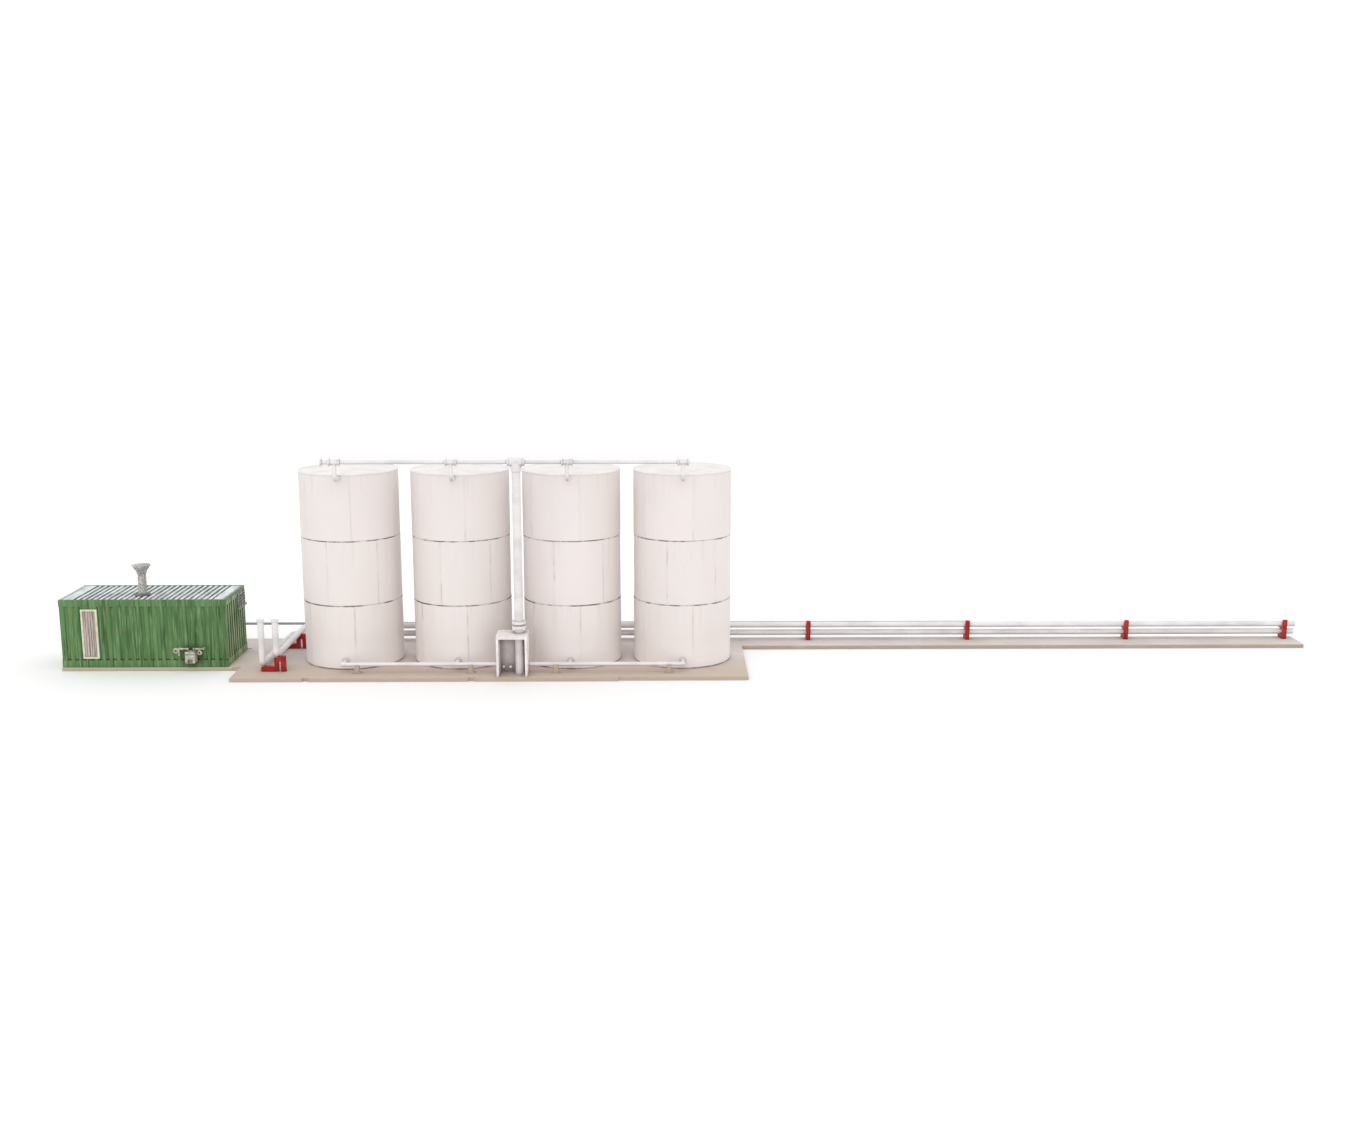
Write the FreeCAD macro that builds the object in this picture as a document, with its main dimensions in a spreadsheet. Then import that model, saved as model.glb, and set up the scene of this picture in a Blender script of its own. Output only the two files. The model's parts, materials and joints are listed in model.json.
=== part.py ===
import math
import os
import re

import FreeCAD
import Part
import Sketcher

# A model railway fuel depot in 1:87: four upright tanks on a base plate, the
# pipework that fills and drains them, a pipe run on a long narrow base, and a
# corrugated pump house. +X runs along the pipe run, +Y away from the pump
# house door, +Z up. The origin is at the bottom centre of the whole model.

DRIVING_SIZES = {
    # bases
    "house_base_length": 88.5,
    "house_base_depth": 37.4,
    "house_base_front": -18.5,
    "house_base_thickness": 1.7,
    "plate_length": 250.6,
    "plate_depth": 79.6,
    "plate_thickness": 2.0,
    "plate_step_inset": 187.6,
    "plate_step_depth": 1.2,
    "plate_overlap": 4.2,
    "plate_tail_length": 33.2,
    "notch_width": 3.0,
    "notch_depth": 1.1,
    "first_notch_inset": 35.0,
    "second_notch_inset": 115.0,
    "strip_length": 295.5,
    "strip_depth": 18.1,
    "locating_ring_height": 1.0,
    "locating_ring_wall": 1.0,
    # tanks
    "first_tank_inset": 53.3,
    "tank_pitch": 55.2,
    "course_height": 32.0,
    "outer_course_radius": 24.5,
    "inner_course_radius": 24.35,
    "course_wall": 1.2,
    "lip_height": 1.5,
    "lip_wall": 0.9,
    "fit_gap": 0.1,
    "seam_width": 0.35,
    "seam_depth": 0.2,
    "outer_seam_angle": 12.0,
    "middle_seam_angle": -18.0,
    "roof_edge": 0.5,
    "roof_rise": 1.5,
    # filling and draining pipework in front of the tanks
    "manifold_radius": 1.0,
    "top_pipe_y": -32.2,
    "top_pipe_height": 105.7,
    "top_pipe_left_end": -182.1,
    "top_pipe_right_end": -6.9,
    "tee_sleeve_radius": 1.4,
    "tee_sleeve_length": 5.4,
    "tee_flange_radius": 1.9,
    "tee_flange_thickness": 0.7,
    "inlet_height": 97.0,
    "inlet_bend": 2.2,
    "riser_inset": 139.4,
    "riser_radius": 2.1,
    "riser_flange_radius": 3.4,
    "riser_flange_thickness": 1.3,
    "riser_flange_gap": 0.9,
    "riser_flange_height": 24.8,
    "riser_tee_length": 6.0,
    "riser_tee_radius": 2.25,
    "riser_tee_flange_radius": 1.9,
    "riser_tee_flange_length": 1.2,
    "riser_tee_socket_radius": 2.6,
    "riser_tee_socket_length": 4.4,
    "bottom_pipe_y": -31.0,
    "bottom_pipe_height": 6.4,
    "outlet_flange_radius": 1.75,
    "outlet_flange_thickness": 0.6,
    "post_width": 2.2,
    "post_depth": 2.4,
    "post_foot_width": 4.4,
    "post_foot_height": 0.8,
    "post_offset": 6.8,
    # valve cabinet
    "cabinet_left_of_riser": 10.7,
    "cabinet_width": 15.0,
    "cabinet_front": -39.2,
    "cabinet_depth": 12.2,
    "cabinet_height": 20.6,
    "cabinet_wall": 1.2,
    "cabinet_lintel": 2.0,
    "knob_radius": 0.65,
    "knob_length": 0.9,
    "knob_stem_radius": 0.35,
    "knob_stem_length": 1.0,
    "knob_height": 4.8,
    "first_knob_inset": 2.6,
    "knob_spacing": 3.4,
    # yard and rack pipes
    "line_radius": 1.5,
    "line_bend": 4.5,
    "line_elbow_bend": 2.2,
    "line_elbow_stub": 4.2,
    "low_line_x": -215.8,
    "high_line_x": -208.8,
    "low_line_height": 5.5,
    "high_line_height": 9.9,
    "low_rack_y": 37.0,
    "high_rack_y": 35.7,
    "standpipe_y": -26.8,
    "standpipe_top": 28.0,
    "cap_radius": 1.85,
    "cap_height": 1.0,
    "rack_joint_x": 143.0,
    "rack_pipe_right_end": 317.3,
    "feed_pipe_radius": 0.65,
    "feed_pipe_bend": 3.0,
    "feed_pipe_x": -250.0,
    "feed_pipe_y": 38.2,
    "feed_pipe_height": 10.6,
    "feed_pipe_right_end": 142.6,
    # pipe supports
    "support_thickness": 2.2,
    "yard_front_support_y": -26.8,
    "yard_back_support_y": 18.9,
    "yard_support_width": 12.1,
    "saddle_depth": 0.6,
    "low_saddle_inset": 0.6,
    "support_slot_offset": 0.9,
    "support_leg_slot": 1.2,
    "support_middle_leg": 1.9,
    "support_slot_height": 5.0,
    "yard_horn_height": 7.7,
    "rack_support_pitch": 84.6,
    "first_rack_support_x": -196.1,
    "rack_post_front": 33.0,
    "rack_post_depth": 1.2,
    "rack_post_height": 10.4,
    "rack_foot_back": 39.2,
    "rack_arm_depth": 1.2,
    # pump house
    "house_left_inset": 0.3,
    "house_length": 81.7,
    "house_depth": 35.8,
    "house_front": -17.7,
    "wall_height": 34.1,
    "end_wall_drop": 0.9,
    "wall_thickness": 1.6,
    "rib_pitch": 3.73,
    "rib_base": 2.5,
    "rib_crest": 1.6,
    "rib_depth": 0.6,
    "rib_inset": 0.1,
    "bottom_rail": 3.6,
    "top_rail": 3.3,
    "roof_plate": 0.5,
    "roof_rib_height": 0.4,
    "roof_rib_pitch": 2.83,
    "roof_rib_base": 1.63,
    "roof_rib_crest": 1.2,
    "roof_left_margin": 6.8,
    "door_inset": 10.6,
    "door_width": 8.1,
    "door_bottom": 4.5,
    "door_height": 25.0,
    "door_border": 1.0,
    "door_proud": 0.5,
    "door_leaf_thickness": 0.9,
    "door_leaf_recess": 0.5,
    "plank_groove": 0.25,
    "door_header": 2.6,
    "chimney_x": -279.25,
    "chimney_y": -5.4,
    "stack_radius": 2.05,
    "stack_bore": 1.5,
    "stack_height": 12.0,
    "stack_flange_radius": 3.8,
    "stack_flange_thickness": 0.4,
    "cowl_sleeve": 0.9,
    "cowl_wall": 0.4,
    "cowl_radius": 4.5,
    "cowl_flare": 3.0,
    "cowl_rim": 0.3,
    "cowl_hat": 0.9,
    "meter_inset": 61.9,
    "meter_width": 4.8,
    "meter_depth": 4.4,
    "meter_bottom": 3.0,
    "meter_height": 5.8,
    "meter_split_depth": 0.3,
    "meter_split_height": 0.4,
    "meter_split_drop": 1.1,
    "meter_window_width": 2.4,
    "meter_window_height": 1.5,
    "meter_window_depth": 0.7,
    "meter_window_bottom": 0.4,
    "meter_pipe_radius": 0.45,
    "meter_pipe_rise": 1.1,
    "meter_drop_length": 3.9,
    "meter_stem_length": 1.15,
    "meter_left_arm": 4.4,
    "meter_right_arm": 4.7,
    "meter_hook_ring": 1.0,
    "meter_valve_ring": 0.8,
    "vent_width": 13.0,
    "vent_height": 7.0,
    "vent_depth": 0.6,
    "vent_inset": 21.9,
    "vent_bottom": 25.1,
    "louvre_pitch": 1.45,
    "louvre_slot": 0.65,
    "louvre_depth": 0.45,
    "vent_border": 0.8,
    "vent_sill": 0.8,
    "vent_sill_depth": 1.3,
}

TANK_COUNT = 4
RACK_SUPPORTS_BEHIND_TANKS = 3
RACK_SUPPORTS_ON_STRIP = 4
COURSES = ("lower", "middle", "upper")
COURSE_RADII = ("outer_course_radius", "inner_course_radius", "outer_course_radius")
SEAMS_PER_COURSE = 6
LONG_WALL_RIBS = 22
SHORT_WALL_RIBS = 9
ROOF_RIBS = 24
RISER_FLANGES = 2
VALVE_KNOBS = 2
LOUVRES = 4
DOOR_PLANKS = 5

X_AXIS = FreeCAD.Vector(1, 0, 0)
Y_AXIS = FreeCAD.Vector(0, 1, 0)
Z_AXIS = FreeCAD.Vector(0, 0, 1)

doc = FreeCAD.newDocument("fuel_depot")
sheet = doc.addObject("Spreadsheet::Sheet", "sizes")
sub_parts = []
cutting_features = []


def fill_sheet():
    """Write one driving size to each row, with its alias."""
    for row, (alias, size) in enumerate(DRIVING_SIZES.items(), start=1):
        sheet.set(f"A{row}", alias)
        sheet.set(f"B{row}", str(size))
        sheet.setAlias(f"B{row}", alias)
    doc.recompute()


def formula(text):
    """Turn the size names in a formula into references to the sheet."""
    return re.sub(r"\b([a-z][a-z0-9_]*)\b(?!\()", r"sizes.\1", str(text))


def number(text):
    """The present value of a formula."""
    return float(sheet.evalExpression(formula(text)))


# Places that several sub-parts share, as formulas of the driving sizes.
LEFT_END = "(-(house_base_length + plate_length + strip_length) / 2)"
PLATE_LEFT = f"({LEFT_END} + house_base_length)"
STRIP_LEFT = f"({PLATE_LEFT} + plate_length)"
PLATE_BACK = "(plate_depth / 2)"
RISER_X = f"({PLATE_LEFT} + riser_inset)"
TANK_TOP = f"(plate_thickness + {len(COURSES)} * course_height)"
CABINET_LEFT = f"({RISER_X} - cabinet_left_of_riser)"
CABINET_RIGHT = f"({CABINET_LEFT} + cabinet_width)"
HOUSE_LEFT = f"({LEFT_END} + house_left_inset)"
HOUSE_RIGHT = f"({HOUSE_LEFT} + house_length)"
HOUSE_BACK = "(house_front + house_depth)"
WALL_TOP = "(house_base_thickness + wall_height)"


def tank_x(tank):
    """Centre of a tank, counted from 0 at the pump house end."""
    return f"({PLATE_LEFT} + first_tank_inset + {tank} * tank_pitch)"


# ---------------------------------------------------------------- helpers

def bind(target, **formulas):
    """Bind properties of an object to formulas of the sheet."""
    for name, text in formulas.items():
        target.setExpression(name, formula(text))


def place(target, x="0", y="0", z="0", axis=Z_AXIS, angle=0):
    """Turn an object by a fixed angle and bind its position to the sheet."""
    target.Placement = FreeCAD.Placement(FreeCAD.Vector(), FreeCAD.Rotation(axis, angle))
    for coordinate, text in (("x", x), ("y", y), ("z", z)):
        target.setExpression(f"Placement.Base.{coordinate}", formula(text))


def keep(target, label):
    """Name a finished sub-part after its piece and list it for writing."""
    target.Label = label
    sub_parts.append(target)
    return target


def cylinder(name, radius, length, x, y, z, along="Z"):
    """A round bar that starts at a point and runs along +X, +Y or +Z."""
    bar = doc.addObject("Part::Cylinder", name)
    bind(bar, Radius=radius, Height=length)
    axis, angle = {"X": (Y_AXIS, 90), "Y": (X_AXIS, -90), "Z": (Z_AXIS, 0)}[along]
    place(bar, x, y, z, axis, angle)
    return bar


def box(name, length, width, height, x, y, z):
    block = doc.addObject("Part::Box", name)
    bind(block, Length=length, Width=width, Height=height)
    place(block, x, y, z)
    return block


def ring_of_wire(name, ring_radius, wire_radius, x, y, z):
    """A wire ring standing upright, facing -Y."""
    ring = doc.addObject("Part::Torus", name)
    bind(ring, Radius1=ring_radius, Radius2=wire_radius)
    place(ring, x, y, z, X_AXIS, 90)
    return ring


def fused(name, pieces):
    joined = doc.addObject("Part::MultiFuse", name)
    joined.Shapes = pieces
    return joined


def cut(name, base, tool):
    remainder = doc.addObject("Part::Cut", name)
    remainder.Base = base
    remainder.Tool = tool
    return remainder


def group(name, pieces):
    """Several separate solids kept as one sub-part."""
    together = doc.addObject("Part::Compound", name)
    together.Links = pieces
    return together


def new_body(name):
    return doc.addObject("PartDesign::Body", name)


def origin_plane(body, role):
    return next(item for item in body.Origin.OriginFeatures if item.Role == role)


def new_sketch(body, name, role, offset="0"):
    """A sketch on one of the body's origin planes, moved along its normal."""
    sketch = body.newObject("Sketcher::SketchObject", f"{body.Name}_{name}")
    sketch.AttachmentSupport = [(origin_plane(body, role), "")]
    sketch.MapMode = "FlatFace"
    if offset != "0":
        sketch.setExpression("AttachmentOffset.Base.z", formula(offset))
    return sketch


def add_outline(sketch, corners):
    """Close a straight-sided outline, with every corner bound to the sheet."""
    points = [FreeCAD.Vector(number(u), number(v), 0) for u, v in corners]
    first = sketch.GeometryCount
    count = len(corners)
    for index, point in enumerate(points):
        sketch.addGeometry(Part.LineSegment(point, points[(index + 1) % count]), False)
    for index in range(count):
        following = first + (index + 1) % count
        sketch.addConstraint(Sketcher.Constraint("Coincident", first + index, 2, following, 1))
    for index, (corner, point) in enumerate(zip(corners, points)):
        for kind, text, value in (("DistanceX", corner[0], point.x), ("DistanceY", corner[1], point.y)):
            bound = sketch.addConstraint(
                Sketcher.Constraint(kind, -1, 1, first + index, 1, value))
            sketch.setExpression(f"Constraints[{bound}]", formula(text))


def add_rectangle(sketch, left, bottom, right, top):
    add_outline(sketch, [(left, bottom), (right, bottom), (right, top), (left, top)])


def add_circle(sketch, centre_u, centre_v, radius):
    """A circle with its centre and radius bound to the sheet."""
    centre = FreeCAD.Vector(number(centre_u), number(centre_v), 0)
    circle = sketch.addGeometry(Part.Circle(centre, Z_AXIS, number(radius)), False)
    for kind, text, value in (("DistanceX", centre_u, centre.x), ("DistanceY", centre_v, centre.y)):
        bound = sketch.addConstraint(Sketcher.Constraint(kind, -1, 1, circle, 3, value))
        sketch.setExpression(f"Constraints[{bound}]", formula(text))
    bound = sketch.addConstraint(Sketcher.Constraint("Radius", circle, number(radius)))
    sketch.setExpression(f"Constraints[{bound}]", formula(radius))


def pad(body, sketch, length, against_normal=False):
    feature = body.newObject("PartDesign::Pad", f"{sketch.Name}_pad")
    feature.Profile = sketch
    feature.Reversed = against_normal
    bind(feature, Length=length)
    return feature


def pocket(body, sketch, length, along_normal=False):
    """Cut a sketch into the body; without along_normal it cuts against the normal."""
    feature = body.newObject("PartDesign::Pocket", f"{sketch.Name}_pocket")
    feature.Profile = sketch
    feature.Reversed = along_normal
    bind(feature, Length=length)
    cutting_features.append(feature)
    return feature


def turned(body, sketch):
    """Turn a half outline drawn in the XZ plane about the Z axis."""
    feature = body.newObject("PartDesign::Revolution", f"{sketch.Name}_turned")
    feature.Profile = sketch
    feature.ReferenceAxis = (sketch, ["V_Axis"])
    feature.Angle = 360
    return feature


def repeat_along(body, feature, sketch, axis, pitch, count):
    """Repeat a feature in a row along one of its sketch's axes."""
    row = body.newObject("PartDesign::LinearPattern", f"{feature.Name}_row")
    row.Originals = [feature]
    row.Direction = (sketch, [axis])
    row.Occurrences = count
    bind(row, Length=f"{pitch} * {count - 1}")
    body.Tip = row
    return row


def repeat_around(body, feature, sketch, count):
    """Repeat a feature around the normal of its sketch."""
    circle = body.newObject("PartDesign::PolarPattern", f"{feature.Name}_circle")
    circle.Originals = [feature]
    circle.Axis = (sketch, ["N_Axis"])
    circle.Angle = 360
    circle.Occurrences = count
    body.Tip = circle
    return circle


def elbow_pipe(name, first_leg, second_leg, bend, radius, downwards):
    """A pipe with one square bend, from the body's own origin.

    Downwards, it runs down and then along +Y; otherwise it runs along +Y and
    then along +X.
    """
    body = new_body(name)
    path = new_sketch(body, "path", "YZ_Plane" if downwards else "XY_Plane")
    side = -1 if downwards else 1
    first = number(first_leg)
    second = number(second_leg)
    turn = number(bend)
    knee = FreeCAD.Vector(turn, side * (first - turn), 0)
    quarter = Part.Circle(knee, Z_AXIS, turn)
    angles = (180, 270) if downwards else (90, 180)
    start, end = (math.radians(angle) for angle in angles)
    path.addGeometry(Part.LineSegment(FreeCAD.Vector(), FreeCAD.Vector(0, knee.y, 0)), False)
    path.addGeometry(Part.ArcOfCircle(quarter, start, end), False)
    path.addGeometry(Part.LineSegment(FreeCAD.Vector(turn, side * first, 0),
                                      FreeCAD.Vector(second, side * first, 0)), False)
    near_end, far_end = (1, 2) if downwards else (2, 1)
    path.addConstraint(Sketcher.Constraint("Coincident", 0, 1, -1, 1))
    path.addConstraint(Sketcher.Constraint("Vertical", 0))
    path.addConstraint(Sketcher.Constraint("Tangent", 0, 2, 1, near_end))
    path.addConstraint(Sketcher.Constraint("Tangent", 1, far_end, 2, 1))
    path.addConstraint(Sketcher.Constraint("Horizontal", 2))
    for kind, element, text in (("Distance", 0, f"{first_leg} - {bend}"), ("Radius", 1, bend),
                                ("Distance", 2, f"{second_leg} - {bend}")):
        bound = path.addConstraint(Sketcher.Constraint(kind, element, number(text)))
        path.setExpression(f"Constraints[{bound}]", formula(text))
    section = new_sketch(body, "section", "XY_Plane" if downwards else "XZ_Plane")
    add_circle(section, "0", "0", radius)
    sweep = body.newObject("PartDesign::AdditivePipe", f"{name}_sweep")
    sweep.Profile = section
    sweep.Spine = (path, ["Edge1", "Edge2", "Edge3"])
    return body


# ---------------------------------------------------------------- bases

def make_main_base_plate():
    """The tank yard's plate: a notched front, a tail behind the pump house and four rings."""
    body = new_body("main_base_plate")
    half = "plate_depth / 2"
    tail_front = "house_base_front + house_base_depth"
    sketch = new_sketch(body, "outline", "XY_Plane")
    add_outline(sketch, [
        ("0", f"-{half}"),
        ("plate_step_inset", f"-{half}"),
        ("plate_step_inset", f"plate_step_depth - {half}"),
        ("plate_length", f"plate_step_depth - {half}"),
        ("plate_length", half),
        ("-plate_tail_length", half),
        ("-plate_tail_length", tail_front),
        ("-plate_overlap", tail_front),
        ("-plate_overlap", "house_base_front"),
        ("0", "house_base_front"),
    ])
    pad(body, sketch, "plate_thickness")
    notches = new_sketch(body, "notches", "XY_Plane")
    for inset in ("first_notch_inset", "second_notch_inset"):
        add_rectangle(notches, inset, f"-{half} - notch_depth",
                      f"{inset} + notch_width", f"notch_depth - {half}")
    pocket(body, notches, "plate_thickness", along_normal=True)
    ring = new_sketch(body, "ring", "XY_Plane", "plate_thickness")
    inner_wall = "outer_course_radius - course_wall - fit_gap"
    add_circle(ring, "first_tank_inset", "0", inner_wall)
    add_circle(ring, "first_tank_inset", "0", f"{inner_wall} - locating_ring_wall")
    raised = pad(body, ring, "locating_ring_height")
    repeat_along(body, raised, ring, "H_Axis", "tank_pitch", TANK_COUNT)
    place(body, PLATE_LEFT)
    keep(body, "main_base_plate")


def make_narrow_bases():
    """The pipe run's strip and the pump house's own base."""
    strip = box("strip", "strip_length", "strip_depth", "plate_thickness",
                STRIP_LEFT, f"{PLATE_BACK} - strip_depth", "0")
    keep(strip, "pipeline_base_strip")
    base = box("house_base", "house_base_length - plate_overlap", "house_base_depth",
               "house_base_thickness", LEFT_END, "house_base_front", "0")
    keep(base, "pump_house_base")


# ---------------------------------------------------------------- tanks

def make_course(tank, level, label):
    """One ring of tank plates; all but the top ring have an inner lip that seats the next."""
    body = new_body(label)
    outer = COURSE_RADII[level]
    inner = f"({outer} - course_wall)"
    sketch = new_sketch(body, "section", "XZ_Plane")
    corners = [(inner, "0"), (outer, "0"), (outer, "course_height")]
    if level < len(COURSES) - 1:
        lip_outer = f"({COURSE_RADII[level + 1]} - course_wall - fit_gap)"
        lip_inner = f"({lip_outer} - lip_wall)"
        corners += [
            (lip_outer, "course_height"),
            (lip_outer, "course_height + lip_height"),
            (lip_inner, "course_height + lip_height"),
            (lip_inner, "course_height - lip_height"),
            (inner, "course_height - 2 * lip_height"),
        ]
    else:
        corners.append((inner, "course_height"))
    add_outline(sketch, corners)
    turned(body, sketch)
    seam = new_sketch(body, "seam", "XY_Plane")
    add_rectangle(seam, "-seam_width / 2", f"-{outer} - seam_depth",
                  "seam_width / 2", f"seam_depth - {outer}")
    groove = pocket(body, seam, "course_height", along_normal=True)
    repeat_around(body, groove, seam, SEAMS_PER_COURSE)
    seam_angle = "middle_seam_angle" if level == 1 else "outer_seam_angle"
    place(body, tank_x(tank), "0", f"plate_thickness + {level} * course_height",
          Z_AXIS, number(seam_angle))
    keep(body, label)


def make_tank_roof(tank):
    """A low cone with a spigot that drops inside the top course."""
    body = new_body(f"tank_{tank + 1}_roof")
    sketch = new_sketch(body, "section", "XZ_Plane")
    spigot = "(outer_course_radius - course_wall - fit_gap)"
    add_outline(sketch, [
        ("0", "0"),
        (f"{spigot} - lip_wall", "0"),
        (f"{spigot} - lip_wall", "-lip_height"),
        (spigot, "-lip_height"),
        (spigot, "0"),
        ("outer_course_radius", "0"),
        ("outer_course_radius", "roof_edge"),
        ("0", "roof_edge + roof_rise"),
    ])
    turned(body, sketch)
    place(body, tank_x(tank), "0", TANK_TOP)
    keep(body, body.Name)


def make_tanks():
    for tank in range(TANK_COUNT):
        for level, course in enumerate(COURSES):
            make_course(tank, level, f"tank_{tank + 1}_{course}_course")
        make_tank_roof(tank)


# ------------------------------------------- pipework in front of the tanks

def make_inlet_drop(tank):
    """A bent pipe from the top manifold to the shell, its top shaped to the manifold."""
    name = f"inlet_drop_{tank + 1}"
    reach = "(-top_pipe_y - outer_course_radius)"
    drop = elbow_pipe(name, "top_pipe_height - inlet_height", reach, "inlet_bend",
                      "manifold_radius", downwards=True)
    fishmouth = new_sketch(drop, "fishmouth", "YZ_Plane", "-2 * tee_sleeve_radius")
    add_circle(fishmouth, "0", "0", "tee_sleeve_radius")
    pocket(drop, fishmouth, "4 * tee_sleeve_radius", along_normal=True)
    place(drop, tank_x(tank), "top_pipe_y", "top_pipe_height")
    return drop


def make_inlet_tee(tank):
    """A sleeve on the top manifold with a flange at each end."""
    name = f"inlet_tee_{tank + 1}"
    body = new_body(name)
    half = "tee_sleeve_length / 2"
    sketch = new_sketch(body, "section", "XZ_Plane")
    add_outline(sketch, [
        ("manifold_radius", f"-{half}"),
        ("tee_flange_radius", f"-{half}"),
        ("tee_flange_radius", f"tee_flange_thickness - {half}"),
        ("tee_sleeve_radius", f"tee_flange_thickness - {half}"),
        ("tee_sleeve_radius", f"{half} - tee_flange_thickness"),
        ("tee_flange_radius", f"{half} - tee_flange_thickness"),
        ("tee_flange_radius", half),
        ("manifold_radius", half),
    ])
    turned(body, sketch)
    place(body, tank_x(tank), "top_pipe_y", "top_pipe_height", Y_AXIS, 90)
    return body


def make_top_pipework():
    tee_left = f"({RISER_X} - riser_tee_length / 2 - riser_tee_flange_length)"
    tee_right = f"({RISER_X} + riser_tee_length / 2 + riser_tee_flange_length)"
    left = cylinder("top_left", "manifold_radius", f"{tee_left} - top_pipe_left_end",
                    "top_pipe_left_end", "top_pipe_y", "top_pipe_height", "X")
    cap = cylinder("top_left_cap", "tee_flange_radius", "tee_flange_thickness",
                   "top_pipe_left_end", "top_pipe_y", "top_pipe_height", "X")
    keep(fused("capped_top_left", [left, cap]), "top_pipe_left")
    right = cylinder("top_right", "manifold_radius", f"top_pipe_right_end - {tee_right}",
                     tee_right, "top_pipe_y", "top_pipe_height", "X")
    keep(right, "top_pipe_right")
    keep(group("inlet_tees", [make_inlet_tee(tank) for tank in range(TANK_COUNT)]), "inlet_tees")
    keep(group("inlet_drops", [make_inlet_drop(tank) for tank in range(TANK_COUNT)]), "inlet_drops")
    across = cylinder("tee_across", "riser_tee_radius", "riser_tee_length",
                      f"{RISER_X} - riser_tee_length / 2", "top_pipe_y", "top_pipe_height", "X")
    collars = cylinder("tee_collars", "riser_tee_flange_radius", f"{tee_right} - {tee_left}",
                       tee_left, "top_pipe_y", "top_pipe_height", "X")
    socket = cylinder("tee_socket", "riser_tee_socket_radius", "riser_tee_socket_length",
                      RISER_X, "top_pipe_y", "top_pipe_height - riser_tee_socket_length")
    riser_end = "(top_pipe_height - riser_tee_socket_length + riser_tee_radius)"
    bore = cylinder("tee_bore", "riser_radius", "riser_tee_socket_length",
                    RISER_X, "top_pipe_y", f"{riser_end} - riser_tee_socket_length")
    tee = cut("tee", fused("tee_solid", [across, collars, socket]), bore)
    keep(tee, "riser_tee")


def make_riser():
    top = "(top_pipe_height - riser_tee_socket_length + riser_tee_radius)"
    riser = cylinder("riser", "riser_radius", f"{top} - plate_thickness",
                     RISER_X, "top_pipe_y", "plate_thickness")
    keep(riser, "riser_pipe")
    flanges = []
    for order in range(RISER_FLANGES):
        name = f"riser_flange_{order + 1}"
        body = new_body(name)
        sketch = new_sketch(body, "ring", "XY_Plane")
        add_circle(sketch, "0", "0", "riser_flange_radius")
        add_circle(sketch, "0", "0", "riser_radius")
        pad(body, sketch, "riser_flange_thickness")
        place(body, RISER_X, "top_pipe_y",
              f"riser_flange_height + {order} * (riser_flange_thickness + riser_flange_gap)")
        flanges.append(body)
    keep(group("riser_flange_pair", flanges), "riser_flanges")


def make_bottom_post(order, x):
    """A stubby post on a wider foot, with a saddle for the bottom manifold."""
    body = new_body(f"bottom_post_{order}")
    saddle_height = "(bottom_pipe_height - plate_thickness)"
    half = "post_width / 2"
    half_foot = "post_foot_width / 2"
    sketch = new_sketch(body, "front", "XZ_Plane")
    add_outline(sketch, [
        (f"-{half_foot}", "0"),
        (half_foot, "0"),
        (half_foot, "post_foot_height"),
        (half, "post_foot_height"),
        (half, saddle_height),
        (f"-{half}", saddle_height),
        (f"-{half}", "post_foot_height"),
        (f"-{half_foot}", "post_foot_height"),
    ])
    pad(body, sketch, "post_depth")
    saddle = new_sketch(body, "saddle", "YZ_Plane", f"-{half_foot}")
    add_circle(saddle, "-post_depth / 2", saddle_height, "manifold_radius")
    pocket(body, saddle, "post_foot_width", along_normal=True)
    place(body, x, "bottom_pipe_y + post_depth / 2", "plate_thickness")
    return body


def make_tank_outlet(tank):
    """A short branch from the bottom manifold to a flange on the shell."""
    body = new_body(f"tank_outlet_{tank + 1}")
    reach = "(-bottom_pipe_y - outer_course_radius)"
    branch = new_sketch(body, "branch", "XZ_Plane")
    add_circle(branch, "0", "0", "manifold_radius")
    pad(body, branch, reach, against_normal=True)
    flange = new_sketch(body, "flange", "XZ_Plane", f"outlet_flange_thickness - {reach}")
    add_circle(flange, "0", "0", "outlet_flange_radius")
    pad(body, flange, "outlet_flange_thickness", against_normal=True)
    fishmouth = new_sketch(body, "fishmouth", "YZ_Plane", "-2 * manifold_radius")
    add_circle(fishmouth, "0", "0", "manifold_radius")
    pocket(body, fishmouth, "4 * manifold_radius", along_normal=True)
    place(body, tank_x(tank), "bottom_pipe_y", "bottom_pipe_height")
    return body


def make_bottom_pipework():
    last_tank = TANK_COUNT - 1
    first_end = f"({tank_x(0)} - manifold_radius)"
    last_end = f"({tank_x(last_tank)} + manifold_radius)"
    left = cylinder("bottom_left", "manifold_radius", f"{CABINET_LEFT} - {first_end}",
                    first_end, "bottom_pipe_y", "bottom_pipe_height", "X")
    keep(left, "bottom_pipe_left")
    right = cylinder("bottom_right", "manifold_radius", f"{last_end} - {CABINET_RIGHT}",
                     CABINET_RIGHT, "bottom_pipe_y", "bottom_pipe_height", "X")
    keep(right, "bottom_pipe_right")
    outlets = [make_tank_outlet(tank) for tank in range(TANK_COUNT)]
    keep(group("outlets", outlets), "tank_outlets")
    posts = []
    for tank in range(TANK_COUNT):
        towards_middle = "+" if tank < TANK_COUNT / 2 else "-"
        posts.append(make_bottom_post(tank + 1, f"{tank_x(tank)} {towards_middle} post_offset"))
    keep(group("bottom_posts", posts), "bottom_pipe_posts")


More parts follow.
